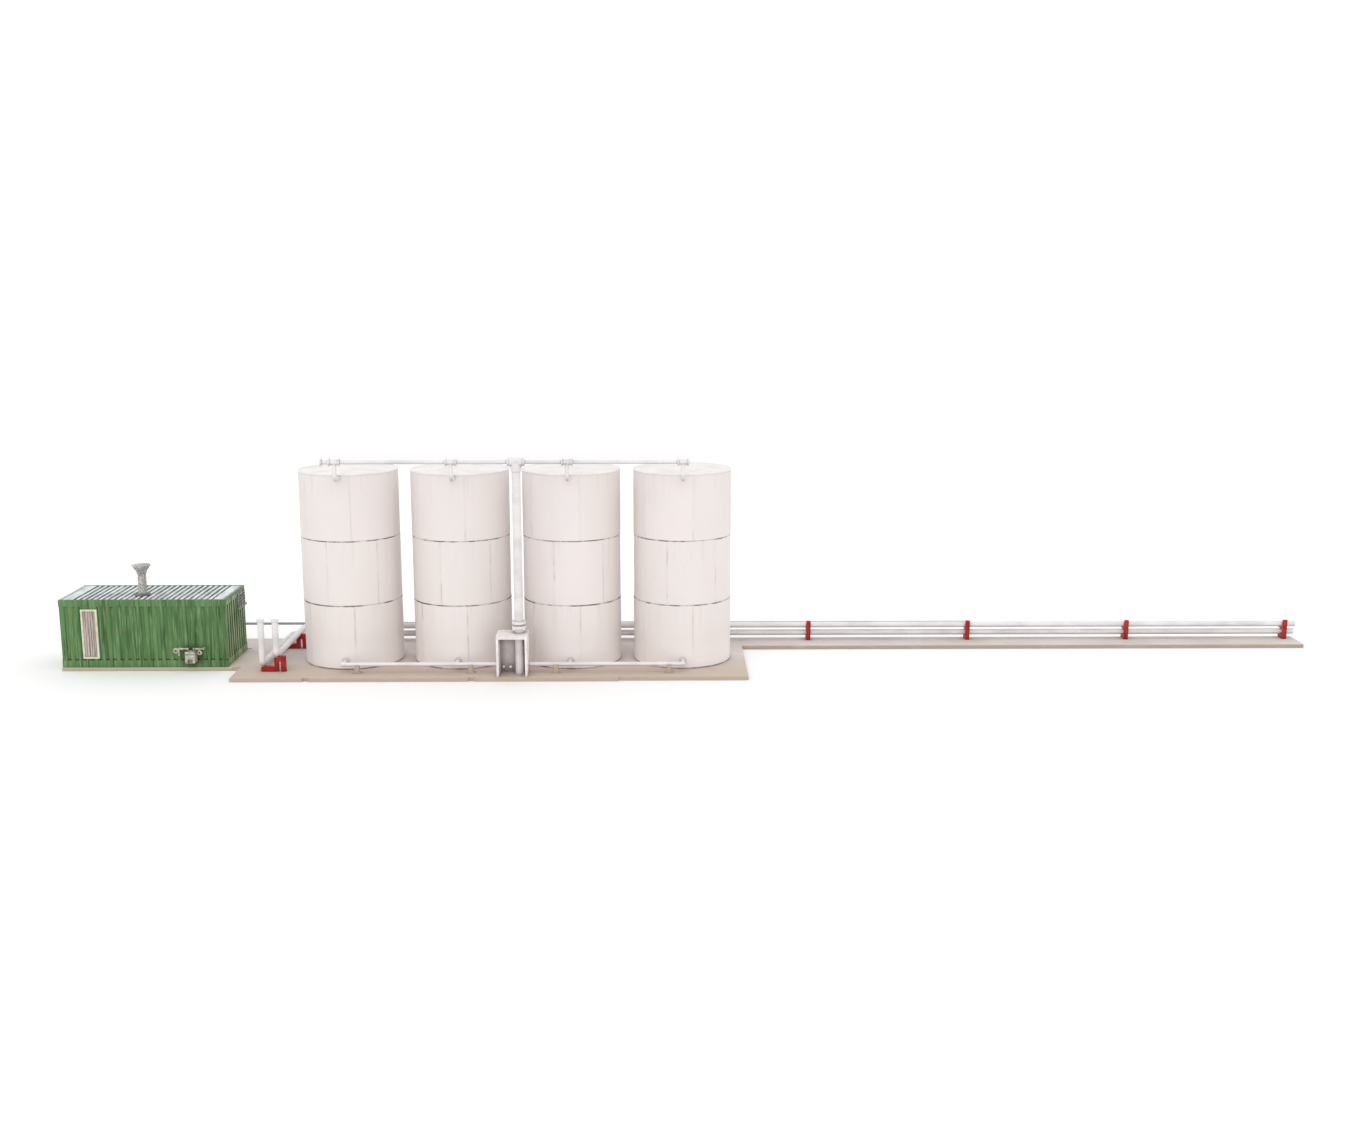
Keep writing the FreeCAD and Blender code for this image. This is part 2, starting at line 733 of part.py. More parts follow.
def make_valve_cabinet():
    """An open-fronted box around the riser's foot, with two valve knobs inside."""
    body = new_body("valve_cabinet")
    outline = new_sketch(body, "outline", "XY_Plane")
    add_rectangle(outline, "0", "0", "cabinet_width", "cabinet_depth")
    pad(body, outline, "cabinet_height")
    inside = new_sketch(body, "inside", "XZ_Plane")
    add_rectangle(inside, "cabinet_wall", "0",
                  "cabinet_width - cabinet_wall", "cabinet_height - cabinet_lintel")
    pocket(body, inside, "cabinet_depth - cabinet_wall")
    hole = new_sketch(body, "riser_hole", "XY_Plane", "cabinet_height")
    add_circle(hole, "cabinet_left_of_riser", "top_pipe_y - cabinet_front", "riser_radius")
    pocket(body, hole, "cabinet_lintel")
    place(body, CABINET_LEFT, "cabinet_front", "plate_thickness")
    keep(body, "valve_cabinet")
    back_wall = "(cabinet_front + cabinet_depth - cabinet_wall)"
    knobs = []
    for order in range(VALVE_KNOBS):
        x = f"{CABINET_LEFT} + first_knob_inset + {order} * knob_spacing"
        stem = cylinder(f"knob_stem_{order + 1}", "knob_stem_radius", "knob_stem_length",
                        x, f"{back_wall} - knob_stem_length", "knob_height", "Y")
        head = cylinder(f"knob_head_{order + 1}", "knob_radius", "knob_length",
                        x, f"{back_wall} - knob_stem_length - knob_length", "knob_height", "Y")
        knobs.append(fused(f"knob_{order + 1}", [stem, head]))
    keep(group("knobs", knobs), "valve_knobs")


# ---------------------------------------------------- yard and rack pipes

def make_standpipe(label, x, height):
    """An upright with a collar at its top and an elbow towards the back at its foot."""
    body = elbow_pipe(label, f"standpipe_top - {height}", "line_elbow_stub",
                      "line_elbow_bend", "line_radius", downwards=True)
    collar = new_sketch(body, "collar", "XY_Plane")
    add_circle(collar, "0", "0", "cap_radius")
    pad(body, collar, "cap_height", against_normal=True)
    place(body, x, "standpipe_y", "standpipe_top")
    keep(body, label)


def make_line(level, x, height, rack_y):
    """One of the two pipe lines: standpipe, yard pipe, corner and rack pipes."""
    make_standpipe(f"standpipe_{level}", x, height)
    yard_start = "(standpipe_y + line_elbow_stub)"
    corner_start = f"({rack_y} - 2 * line_bend)"
    yard = cylinder(f"yard_{level}", "line_radius", f"{corner_start} - {yard_start}",
                    x, yard_start, height, "Y")
    keep(yard, f"yard_pipe_{level}")
    corner = elbow_pipe(f"rack_left_{level}", f"{rack_y} - {corner_start}", f"rack_joint_x - {x}",
                        "line_bend", "line_radius", downwards=False)
    place(corner, x, corner_start, height)
    keep(corner, f"rack_pipe_{level}_left")
    right = cylinder(f"rack_right_{level}", "line_radius", "rack_pipe_right_end - rack_joint_x",
                     "rack_joint_x", rack_y, height, "X")
    keep(right, f"rack_pipe_{level}_right")


def make_feed_pipe():
    """The thin pipe from the pump house's back wall to the pipe run."""
    body = elbow_pipe("feed", f"feed_pipe_y - {HOUSE_BACK}", "feed_pipe_right_end - feed_pipe_x",
                      "feed_pipe_bend", "feed_pipe_radius", downwards=False)
    place(body, "feed_pipe_x", HOUSE_BACK, "feed_pipe_height")
    keep(body, "feed_pipe")


def make_yard_support(label, y):
    """A stepped saddle: a low block for one line and a two-legged bridge for the other."""
    body = new_body(label)
    low_centre = "(low_line_height - plate_thickness)"
    high_centre = "(high_line_height - plate_thickness)"
    high_u = "(low_saddle_inset + high_line_x - low_line_x)"
    low_top = f"({low_centre} - line_radius + saddle_depth)"
    high_top = f"({high_centre} - line_radius + saddle_depth)"
    slot_left = f"({high_u} + support_slot_offset)"
    slot_right = f"({slot_left} + support_leg_slot)"
    bridge_left = f"({slot_left} - support_middle_leg)"
    horn_left = f"({high_u} + line_radius)"
    sketch = new_sketch(body, "front", "XZ_Plane")
    add_outline(sketch, [
        ("0", "0"),
        (slot_left, "0"),
        (slot_left, "support_slot_height"),
        (slot_right, "support_slot_height"),
        (slot_right, "0"),
        ("yard_support_width", "0"),
        ("yard_support_width", "yard_horn_height"),
        (horn_left, "yard_horn_height"),
        (horn_left, high_top),
        (bridge_left, high_top),
        (bridge_left, low_top),
        ("0", low_top),
    ])
    pad(body, sketch, "support_thickness")
    saddles = new_sketch(body, "saddles", "XZ_Plane")
    add_circle(saddles, "low_saddle_inset", low_centre, "line_radius")
    add_circle(saddles, high_u, high_centre, "line_radius")
    pocket(body, saddles, "support_thickness", along_normal=True)
    place(body, "low_line_x - low_saddle_inset", f"{y} + support_thickness / 2", "plate_thickness")
    keep(body, label)


def make_rack_support(name, x):
    """A front post with a low block, an upper arm and a step that carry three pipes."""
    body = new_body(name)
    low_centre = "(low_line_height - plate_thickness)"
    high_centre = "(high_line_height - plate_thickness)"
    low_top = f"({low_centre} - line_radius + saddle_depth)"
    high_top = f"({high_centre} - line_radius + saddle_depth)"
    arm_bottom = f"({high_top} - saddle_depth - rack_arm_depth)"
    step_top = "(feed_pipe_height - feed_pipe_radius - plate_thickness)"
    post_back = "(rack_post_front + rack_post_depth)"
    step_front = "(feed_pipe_y - feed_pipe_radius)"
    sketch = new_sketch(body, "side", "YZ_Plane")
    add_outline(sketch, [
        ("rack_post_front", "0"),
        ("rack_foot_back", "0"),
        ("rack_foot_back", low_top),
        (post_back, low_top),
        (post_back, arm_bottom),
        ("rack_foot_back", arm_bottom),
        ("rack_foot_back", step_top),
        (step_front, step_top),
        (step_front, high_top),
        (post_back, high_top),
        (post_back, "rack_post_height"),
        ("rack_post_front", "rack_post_height"),
    ])
    pad(body, sketch, "support_thickness")
    saddles = new_sketch(body, "saddles", "YZ_Plane")
    add_circle(saddles, "low_rack_y", low_centre, "line_radius")
    add_circle(saddles, "high_rack_y", high_centre, "line_radius")
    pocket(body, saddles, "support_thickness", along_normal=True)
    place(body, f"{x} - support_thickness / 2", "0", "plate_thickness")
    return body


def make_pipe_lines():
    make_line("low", "low_line_x", "low_line_height", "low_rack_y")
    make_line("high", "high_line_x", "high_line_height", "high_rack_y")
    make_feed_pipe()
    make_yard_support("yard_support_front", "yard_front_support_y")
    make_yard_support("yard_support_back", "yard_back_support_y")
    supports = []
    for order in range(RACK_SUPPORTS_BEHIND_TANKS + RACK_SUPPORTS_ON_STRIP):
        x = f"(first_rack_support_x + {order} * rack_support_pitch)"
        supports.append(make_rack_support(f"rack_support_at_{order + 1}", x))
    hidden = supports[:RACK_SUPPORTS_BEHIND_TANKS]
    keep(group("hidden_supports", hidden), "rack_supports_behind_tanks")
    for order, support in enumerate(supports[RACK_SUPPORTS_BEHIND_TANKS:], start=1):
        keep(support, f"rack_support_{order}")


# ---------------------------------------------------------------- pump house

def corrugated_wall(name, length, ribs, drop="0"):
    """A wall panel along +X whose ribbed face looks towards -Y; drop lowers only its top edge."""
    body = new_body(name)
    top = f"(wall_height - {drop})"
    profile = new_sketch(body, "profile", "YZ_Plane")
    add_outline(profile, [
        ("0", "0"),
        ("wall_thickness", "0"),
        ("wall_thickness", top),
        ("0", top),
        ("0", "wall_height - top_rail"),
        ("rib_depth", "wall_height - top_rail"),
        ("rib_depth", "bottom_rail"),
        ("0", "bottom_rail"),
    ])
    pad(body, profile, length)
    rib = new_sketch(body, "rib", "XY_Plane", "bottom_rail")
    centre = f"(({length}) - {ribs - 1} * rib_pitch) / 2"
    add_outline(rib, [
        (f"{centre} - rib_base / 2", "rib_depth"),
        (f"{centre} - rib_crest / 2", "rib_inset"),
        (f"{centre} + rib_crest / 2", "rib_inset"),
        (f"{centre} + rib_base / 2", "rib_depth"),
    ])
    first_rib = pad(body, rib, "wall_height - top_rail - bottom_rail")
    repeat_along(body, first_rib, rib, "H_Axis", "rib_pitch", ribs)
    return body


def make_front_wall():
    """The long wall with the door opening and the block above it."""
    body = corrugated_wall("front_wall", "house_length", LONG_WALL_RIBS)
    header = new_sketch(body, "header", "XZ_Plane")
    add_rectangle(header, "door_inset", "door_bottom + door_height", "door_inset + door_width",
                  "door_bottom + door_height + door_header")
    pad(body, header, "rib_depth", against_normal=True)
    opening = new_sketch(body, "opening", "XZ_Plane")
    add_rectangle(opening, "door_inset", "door_bottom", "door_inset + door_width",
                  "door_bottom + door_height")
    pocket(body, opening, "wall_thickness")
    place(body, HOUSE_LEFT, "house_front", "house_base_thickness")
    keep(body, "pump_house_front_wall")


def make_other_walls():
    """The plain back wall and the lower end walls that fit between the long walls."""
    between = "house_depth - 2 * wall_thickness"
    back = corrugated_wall("back_wall", "house_length", LONG_WALL_RIBS)
    place(back, HOUSE_RIGHT, HOUSE_BACK, "house_base_thickness", Z_AXIS, 180)
    keep(back, "pump_house_back_wall")
    right = corrugated_wall("right_wall", between, SHORT_WALL_RIBS, "end_wall_drop")
    place(right, HOUSE_RIGHT, "house_front + wall_thickness", "house_base_thickness", Z_AXIS, 90)
    keep(right, "pump_house_right_wall")
    left = corrugated_wall("left_wall", between, SHORT_WALL_RIBS, "end_wall_drop")
    place(left, HOUSE_LEFT, f"{HOUSE_BACK} - wall_thickness", "house_base_thickness", Z_AXIS, -90)
    keep(left, "pump_house_left_wall")


def make_house_roof():
    """A flat roof on the end walls, with ribs from front to back and a plain margin at each side."""
    body = new_body("house_roof")
    depth = "(house_depth - 2 * wall_thickness)"
    crest = "(roof_plate + roof_rib_height)"
    rib_left = "(roof_left_margin + roof_rib_pitch - roof_rib_base)"
    plate = new_sketch(body, "plate", "XY_Plane")
    add_rectangle(plate, "0", "0", "house_length", depth)
    pad(body, plate, "roof_plate")
    margins = new_sketch(body, "margins", "XY_Plane", "roof_plate")
    add_rectangle(margins, "0", "0", "roof_left_margin", depth)
    add_rectangle(margins, f"{rib_left} + {ROOF_RIBS} * roof_rib_pitch", "0", "house_length", depth)
    pad(body, margins, "roof_rib_height")
    rib = new_sketch(body, "rib", "XZ_Plane")
    add_outline(rib, [
        (rib_left, "roof_plate"),
        (f"{rib_left} + roof_rib_base", "roof_plate"),
        (f"{rib_left} + (roof_rib_base + roof_rib_crest) / 2", crest),
        (f"{rib_left} + (roof_rib_base - roof_rib_crest) / 2", crest),
    ])
    first_rib = pad(body, rib, depth, against_normal=True)
    repeat_along(body, first_rib, rib, "H_Axis", "roof_rib_pitch", ROOF_RIBS)
    place(body, HOUSE_LEFT, "house_front + wall_thickness", f"{WALL_TOP} - end_wall_drop")
    keep(body, "pump_house_roof")


def make_door():
    """A frame in the wall's opening and a planked leaf inside the frame."""
    frame = new_body("frame_of_door")
    border = new_sketch(frame, "border", "XZ_Plane")
    add_rectangle(border, "0", "0", "door_width", "door_height")
    add_rectangle(border, "door_border", "door_border",
                  "door_width - door_border", "door_height - door_border")
    pad(frame, border, "wall_thickness + door_proud", against_normal=True)
    bottom = "house_base_thickness + door_bottom"
    place(frame, f"{HOUSE_LEFT} + door_inset", "house_front - door_proud", bottom)
    keep(frame, "door_frame")
    leaf = new_body("leaf_of_door")
    panel = new_sketch(leaf, "panel", "XZ_Plane")
    leaf_width = "(door_width - 2 * door_border)"
    leaf_height = "(door_height - 2 * door_border)"
    add_rectangle(panel, "0", "0", leaf_width, leaf_height)
    pad(leaf, panel, "door_leaf_thickness", against_normal=True)
    groove = new_sketch(leaf, "groove", "XZ_Plane")
    plank = f"({leaf_width} / {DOOR_PLANKS})"
    add_rectangle(groove, f"{plank} - plank_groove / 2", "0",
                  f"{plank} + plank_groove / 2", leaf_height)
    first_groove = pocket(leaf, groove, "plank_groove")
    repeat_along(leaf, first_groove, groove, "H_Axis", plank, DOOR_PLANKS - 1)
    place(leaf, f"{HOUSE_LEFT} + door_inset + door_border",
          "house_front - door_proud + door_leaf_recess", f"{bottom} + door_border")
    keep(leaf, "door_leaf")


def make_chimney():
    """A flanged stack with a flared cowl over its top."""
    stack = new_body("stack")
    section = new_sketch(stack, "section", "XZ_Plane")
    add_outline(section, [
        ("stack_bore", "0"),
        ("stack_flange_radius", "0"),
        ("stack_flange_radius", "stack_flange_thickness"),
        ("stack_radius", "stack_flange_thickness"),
        ("stack_radius", "stack_height"),
        ("stack_bore", "stack_height"),
    ])
    turned(stack, section)
    place(stack, "chimney_x", "chimney_y", WALL_TOP)
    keep(stack, "chimney_stack")
    cowl = new_body("cowl")
    section = new_sketch(cowl, "section", "XZ_Plane")
    flare_top = "(cowl_sleeve + cowl_flare)"
    hat_top = f"({flare_top} + cowl_rim + cowl_hat)"
    add_outline(section, [
        ("stack_radius", "0"),
        ("stack_radius + cowl_wall", "0"),
        ("stack_radius + cowl_wall", "cowl_sleeve"),
        ("cowl_radius", flare_top),
        ("cowl_radius", f"{flare_top} + cowl_rim"),
        ("0", hat_top),
        ("0", f"{hat_top} - cowl_wall"),
        ("cowl_radius - cowl_wall", flare_top),
        ("stack_radius", "cowl_sleeve"),
    ])
    turned(cowl, section)
    place(cowl, "chimney_x", "chimney_y", f"{WALL_TOP} + stack_height - cowl_sleeve")
    keep(cowl, "chimney_cowl")


def make_meter():
    """The metering pump on the front wall: a cast body and its bent pipework."""
    body = new_body("meter")
    case = new_sketch(body, "case", "XZ_Plane")
    add_rectangle(case, "0", "0", "meter_width", "meter_height")
    pad(body, case, "meter_depth")
    window = new_sketch(body, "window", "XZ_Plane", "meter_depth")
    window_left = "(meter_width - meter_window_width) / 2"
    add_rectangle(window, window_left, "meter_window_bottom",
                  f"{window_left} + meter_window_width", "meter_window_bottom + meter_window_height")
    pocket(body, window, "meter_window_depth")
    split = new_sketch(body, "split", "XZ_Plane", "meter_depth")
    split_top = "(meter_height - meter_split_drop)"
    add_rectangle(split, "-meter_split_depth", f"{split_top} - meter_split_height",
                  "meter_width + meter_split_depth", split_top)
    pocket(body, split, "meter_split_depth")
    meter_left = f"({HOUSE_LEFT} + meter_inset)"
    wall_face = "(house_front + rib_inset)"
    meter_base = "(house_base_thickness + meter_bottom)"
    place(body, meter_left, wall_face, meter_base)
    keep(body, "meter_body")

    y = f"({wall_face} - meter_depth / 2)"
    top = f"({meter_base} + meter_height)"
    arm_z = f"({top} + meter_pipe_rise)"
    left_x = f"({meter_left} + 2 * meter_pipe_radius)"
    right_x = f"({meter_left} + meter_width - 2 * meter_pipe_radius)"
    left_end = f"({left_x} - meter_left_arm)"
    right_end = f"({right_x} + meter_right_arm)"
    wire = "meter_pipe_radius"
    hook_x = f"{left_end} - meter_hook_ring - meter_pipe_radius"
    valve_x = f"({right_x} + meter_right_arm / 2 + meter_pipe_radius)"
    left_pipes = [
        cylinder("meter_left_rise", wire, f"meter_pipe_rise + {wire}", left_x, y, top),
        cylinder("meter_left_arm_bar", wire, f"meter_left_arm + {wire}", left_end, y, arm_z, "X"),
        cylinder("meter_left_drop", wire, "meter_drop_length", left_end, y,
                 f"{arm_z} + {wire} - meter_drop_length"),
        ring_of_wire("meter_hook", "meter_hook_ring", wire, hook_x, y, f"{arm_z} - meter_hook_ring"),
        cylinder("meter_left_stay", wire, f"{wall_face} - {y}", left_end, y, arm_z, "Y"),
    ]
    right_pipes = [
        cylinder("meter_right_rise", wire, f"meter_pipe_rise + {wire}", right_x, y, top),
        cylinder("meter_right_arm_bar", wire, f"meter_right_arm + {wire}", right_x, y, arm_z, "X"),
        cylinder("meter_valve_stem", wire, "meter_stem_length", valve_x, y,
                 f"{arm_z} - meter_stem_length"),
        ring_of_wire("meter_valve", "meter_valve_ring", wire, valve_x, y,
                     f"{arm_z} - meter_stem_length - meter_valve_ring"),
        cylinder("meter_right_stay", wire, f"{wall_face} - {y}", right_end, y, arm_z, "Y"),
    ]
    pipework = group("meter_pipes", [fused("meter_left_pipes", left_pipes),
                                     fused("meter_right_pipes", right_pipes)])
    keep(pipework, "meter_pipework")


def make_end_vent():
    """A louvred box with a sill on the pump house's right end wall."""
    body = new_body("vent")
    case = new_sketch(body, "case", "YZ_Plane")
    add_rectangle(case, "0", "0", "vent_width", "vent_height")
    pad(body, case, "vent_depth")
    sill = new_sketch(body, "sill", "YZ_Plane")
    add_rectangle(sill, "-vent_sill / 2", "-vent_sill", "vent_width + vent_sill / 2", "0")
    pad(body, sill, "vent_sill_depth")
    louvre = new_sketch(body, "louvre", "YZ_Plane", "vent_depth")
    add_rectangle(louvre, "vent_border", "vent_border",
                  "vent_width - vent_border", "vent_border + louvre_slot")
    first_slot = pocket(body, louvre, "louvre_depth")
    repeat_along(body, first_slot, louvre, "V_Axis", "louvre_pitch", LOUVRES)
    place(body, f"{HOUSE_RIGHT} - rib_inset", "house_front + vent_inset",
          "house_base_thickness + vent_bottom")
    keep(body, "end_vent")


def make_pump_house():
    make_front_wall()
    make_other_walls()
    make_house_roof()
    make_door()
    make_chimney()
    make_meter()
    make_end_vent()


# ---------------------------------------------------------------- build

def check_document():
    """Stop when any object failed, any cut removed nothing, or a shape is bad."""
    faults = []
    for item in doc.Objects:
        if "Invalid" in item.State or "Error" in item.State:
            faults.append(f"{item.Name} is in state {item.State}")
    for feature in cutting_features:
        if feature.Shape.Volume >= feature.BaseFeature.Shape.Volume - 1e-6:
            faults.append(f"{feature.Name} cuts nothing")
    for item in sub_parts:
        if item.Shape.isNull() or not item.Shape.isValid() or not item.Shape.Solids:
            faults.append(f"{item.Label} has a bad shape")
    if faults:
        raise RuntimeError("; ".join(faults))


def write_parts():
    os.makedirs("parts", exist_ok=True)
    whole = Part.makeCompound([item.Shape for item in sub_parts]).BoundBox
    for item in sub_parts:
        item.Shape.exportStep(f"parts/{item.Label}.step")
        print(f"{item.Label}: {len(item.Shape.Solids)} solid(s), {item.Shape.Volume:.1f} mm3")
    print(f"{len(sub_parts)} sub-parts")
    print(f"size {whole.XLength:.1f} x {whole.YLength:.1f} x {whole.ZLength:.1f} mm,"
          f" x from {whole.XMin:.1f}, y from {whole.YMin:.1f}, z from {whole.ZMin:.1f}")


fill_sheet()
make_main_base_plate()
make_narrow_bases()
make_tanks()
make_top_pipework()
make_riser()
make_bottom_pipework()
make_valve_cabinet()
make_pipe_lines()
make_pump_house()
doc.recompute()
check_document()
write_parts()
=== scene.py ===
import json
import math

import bpy
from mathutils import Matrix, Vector, noise


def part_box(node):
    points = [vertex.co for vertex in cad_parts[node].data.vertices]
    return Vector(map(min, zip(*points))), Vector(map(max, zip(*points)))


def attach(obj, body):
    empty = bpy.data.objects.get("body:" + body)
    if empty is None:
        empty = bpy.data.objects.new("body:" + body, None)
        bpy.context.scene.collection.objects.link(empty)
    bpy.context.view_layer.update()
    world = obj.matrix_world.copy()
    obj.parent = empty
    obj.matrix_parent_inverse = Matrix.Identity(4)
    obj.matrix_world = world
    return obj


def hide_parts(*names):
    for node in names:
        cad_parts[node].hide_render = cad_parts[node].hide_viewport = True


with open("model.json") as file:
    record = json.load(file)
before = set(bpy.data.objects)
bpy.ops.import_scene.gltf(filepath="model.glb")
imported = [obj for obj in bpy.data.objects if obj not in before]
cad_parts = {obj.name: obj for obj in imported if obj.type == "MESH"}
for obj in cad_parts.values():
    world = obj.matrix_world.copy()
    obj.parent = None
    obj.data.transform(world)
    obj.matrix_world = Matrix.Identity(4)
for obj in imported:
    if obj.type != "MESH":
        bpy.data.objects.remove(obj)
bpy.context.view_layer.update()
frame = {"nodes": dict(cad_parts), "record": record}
NODES = frame["nodes"]
MM = 0.001
TANKS = (1, 2, 3, 4)
COURSES = ("lower", "middle", "upper")


# ------------------------------------------------------------ camera, light

# Angles are in degrees. The camera's far limit and the floor's reach are in metres.
CAMERA_PLACE = Vector((-21.25, -744.2, 196.0)) * MM
CAMERA_DOWN = 11.05
CAMERA_RIGHT = 0.60
CAMERA_LENS = 40.2
CAMERA_NEAR = 10 * MM
CAMERA_FAR = 10
FLOOR_REACH = 6
FLOOR_DROP = 0.02 * MM
SURROUND = 1.03
LAMP_FROM = Vector((-0.2, -0.9, 1.0))
LAMP_STRENGTH = 0.35
LAMP_SPREAD = 60


def make_camera():
    """The photo's viewpoint: in front of the model, looking slightly down and to the right."""
    data = bpy.data.cameras.new("camera")
    data.lens = CAMERA_LENS
    data.clip_start = CAMERA_NEAR
    data.clip_end = CAMERA_FAR
    camera = bpy.data.objects.new("camera", data)
    camera.location = CAMERA_PLACE
    camera.rotation_euler = (math.radians(90 - CAMERA_DOWN), 0, -math.radians(CAMERA_RIGHT))
    bpy.context.scene.collection.objects.link(camera)
    bpy.context.scene.camera = camera


def make_studio():
    """A white surround, and one very soft lamp from above in front, slightly to the left."""
    world = bpy.data.worlds.new("studio")
    world.use_nodes = True
    background = world.node_tree.nodes["Background"]
    background.inputs["Color"].default_value = (1, 1, 1, 1)
    background.inputs["Strength"].default_value = SURROUND
    bpy.context.scene.world = world
    bpy.context.scene.view_settings.view_transform = "Standard"
    lamp = bpy.data.lights.new("soft_lamp", "SUN")
    lamp.energy = LAMP_STRENGTH
    lamp.angle = math.radians(LAMP_SPREAD)
    light = bpy.data.objects.new("soft_lamp", lamp)
    light.rotation_euler = (-LAMP_FROM).to_track_quat("-Z", "Y").to_euler()
    bpy.context.scene.collection.objects.link(light)


def make_floor():
    """A wide white floor, a hair below the model so that the two never touch."""
    mesh = bpy.data.meshes.new("floor")
    corners = [(-1, -1), (1, -1), (1, 1), (-1, 1)]
    mesh.from_pydata([(FLOOR_REACH * x, FLOOR_REACH * y, 0) for x, y in corners], [], [(0, 1, 2, 3)])
    floor = bpy.data.objects.new("floor", mesh)
    floor.location.z = -FLOOR_DROP
    bpy.context.scene.collection.objects.link(floor)
    floor.data.materials.append(floor_material())


# ------------------------------------------------------------ material kit

PAINT_LIFT = 1.22
BRIGHTEST = 0.97
PAINT_SPECULAR = 0.35
CREVICE_SAMPLES = 8

# The colour sockets of a mix node, by their place among its sockets.
MIX_UNDER = 6
MIX_OVER = 7
MIX_RESULT = 2


def srgb(red, green, blue):
    """A colour given as on a screen, 0 to 255, as linear RGBA, lifted to suit the soft light."""
    def linear(value):
        value /= 255
        value = value / 12.92 if value <= 0.04045 else ((value + 0.055) / 1.055) ** 2.4
        return min(BRIGHTEST, value * PAINT_LIFT)
    return (linear(red), linear(green), linear(blue), 1)


class Paint:
    """A procedural material, built up in layers of colour, gloss and height."""

    def __init__(self, name):
        """A new material with no layers yet, mapped by the object's own coordinates."""
        self.material = bpy.data.materials.new(name)
        self.material.use_nodes = True
        self.tree = self.material.node_tree
        self.shader = self.tree.nodes["Principled BSDF"]
        self.shader.inputs["Specular IOR Level"].default_value = PAINT_SPECULAR
        self.space = self.node("ShaderNodeTexCoord").outputs["Object"]
        self.heights = []

    def node(self, kind, **settings):
        """A new shader node of a kind, with its settings."""
        made = self.tree.nodes.new(kind)
        for key, value in settings.items():
            setattr(made, key, value)
        return made

    def link(self, source, target):
        """Feed a socket from another socket, or set it to a plain value."""
        if isinstance(source, bpy.types.NodeSocket):
            self.tree.links.new(source, target)
        else:
            target.default_value = source

    def speckle(self, size, stretch=(1, 1, 1), detail=3, roughness=0.55):
        """Noise with features about size millimetres across, stretched along the axes."""
        mapping = self.node("ShaderNodeMapping")
        self.link(self.space, mapping.inputs["Vector"])
        mapping.inputs["Scale"].default_value = [1 / (size * MM * part) for part in stretch]
        texture = self.node("ShaderNodeTexNoise")
        self.link(mapping.outputs["Vector"], texture.inputs["Vector"])
        texture.inputs["Scale"].default_value = 1
        texture.inputs["Detail"].default_value = detail
        texture.inputs["Roughness"].default_value = roughness
        return texture.outputs["Fac"]

    def between(self, value, low, high, out_low=0.0, out_high=1.0):
        """Rise smoothly from out_low to out_high as the value goes from low to high."""
        ramp = self.node("ShaderNodeMapRange", interpolation_type="SMOOTHSTEP")
        self.link(value, ramp.inputs["Value"])
        ramp.inputs["From Min"].default_value = low
        ramp.inputs["From Max"].default_value = high
        ramp.inputs["To Min"].default_value = out_low
        ramp.inputs["To Max"].default_value = out_high
        return ramp.outputs["Result"]

    def calculate(self, operation, first, second=0.0):
        """The result of a math node's operation on one or two values."""
        made = self.node("ShaderNodeMath", operation=operation)
        self.link(first, made.inputs[0])
        self.link(second, made.inputs[1])
        return made.outputs[0]

    def times(self, first, second):
        """One value multiplied by another."""
        return self.calculate("MULTIPLY", first, second)

    def mix(self, amount, under, over):
        """Lay the over colour on the under colour."""
        made = self.node("ShaderNodeMix", data_type="RGBA")
        self.link(amount, made.inputs["Factor"])
        self.link(under, made.inputs[MIX_UNDER])
        self.link(over, made.inputs[MIX_OVER])
        return made.outputs[MIX_RESULT]

    def crevice_shade(self, reach, depth=0.75):
        """1 in corners and grooves within reach millimetres of another surface, 0 in the open: the mask
        of painted shade.
        """
        shade = self.node("ShaderNodeAmbientOcclusion", samples=CREVICE_SAMPLES)
        shade.inputs["Distance"].default_value = reach * MM
        return self.between(shade.outputs["AO"], 1.0, 1.0 - depth)

    def axis(self, name):
        """The place along the X, Y or Z axis, in metres."""
        split = self.node("ShaderNodeSeparateXYZ")
        self.link(self.space, split.inputs[0])
        return split.outputs[name]

    def facing_up(self):
        """The upward part of the surface's direction, from -1 to 1."""
        geometry = self.node("ShaderNodeNewGeometry")
        split = self.node("ShaderNodeSeparateXYZ")
        self.link(geometry.outputs["Normal"], split.inputs[0])
        return split.outputs["Z"]

    def near(self, centre, inner, outer):
        """1 within inner millimetres of a point given in metres, fading to 0 at outer millimetres."""
        away = self.node("ShaderNodeVectorMath", operation="DISTANCE")
        self.link(self.space, away.inputs[0])
        away.inputs[1].default_value = centre
        return self.between(away.outputs["Value"], outer * MM, inner * MM)

    def relief(self, height, depth):
        """Add a bump whose full height is depth millimetres."""
        self.heights.append((height, depth))

    def finish(self, colour, roughness):
        """Connect the layers to the shader."""
        self.link(colour, self.shader.inputs["Base Color"])
        self.link(roughness, self.shader.inputs["Roughness"])
        normal = None
        for height, depth in self.heights:
            bump = self.node("ShaderNodeBump")
            bump.inputs["Strength"].default_value = 1.0
            bump.inputs["Distance"].default_value = depth * MM
            self.link(height, bump.inputs["Height"])
            if normal is not None:
                self.link(normal, bump.inputs["Normal"])
            normal = bump.outputs["Normal"]
        if normal is not None:
            self.link(normal, self.shader.inputs["Normal"])
        return self.material


# ------------------------------------------------------------ materials

# Heights of marks on the tanks: the seams' above the table, the painted light and the painted contact
# shadow above the tank's foot.
SEAM_FADE_START = 60 * MM
SEAM_FADE_END = 75 * MM
FOOT_LIGHT_FULL = 2 * MM
FOOT_LIGHT_END = 16 * MM
CONTACT_SHADOW_FULL = 0.35 * MM
CONTACT_SHADOW_END = 0.7 * MM


def floor_material():
    """White paper with very faint clouds."""
    paint = Paint("floor_paper")
    cloud = paint.speckle(300)
    colour = paint.mix(paint.between(cloud, 0.3, 0.7), srgb(250, 250, 250), srgb(254, 254, 254))
    return paint.finish(colour, 0.9)


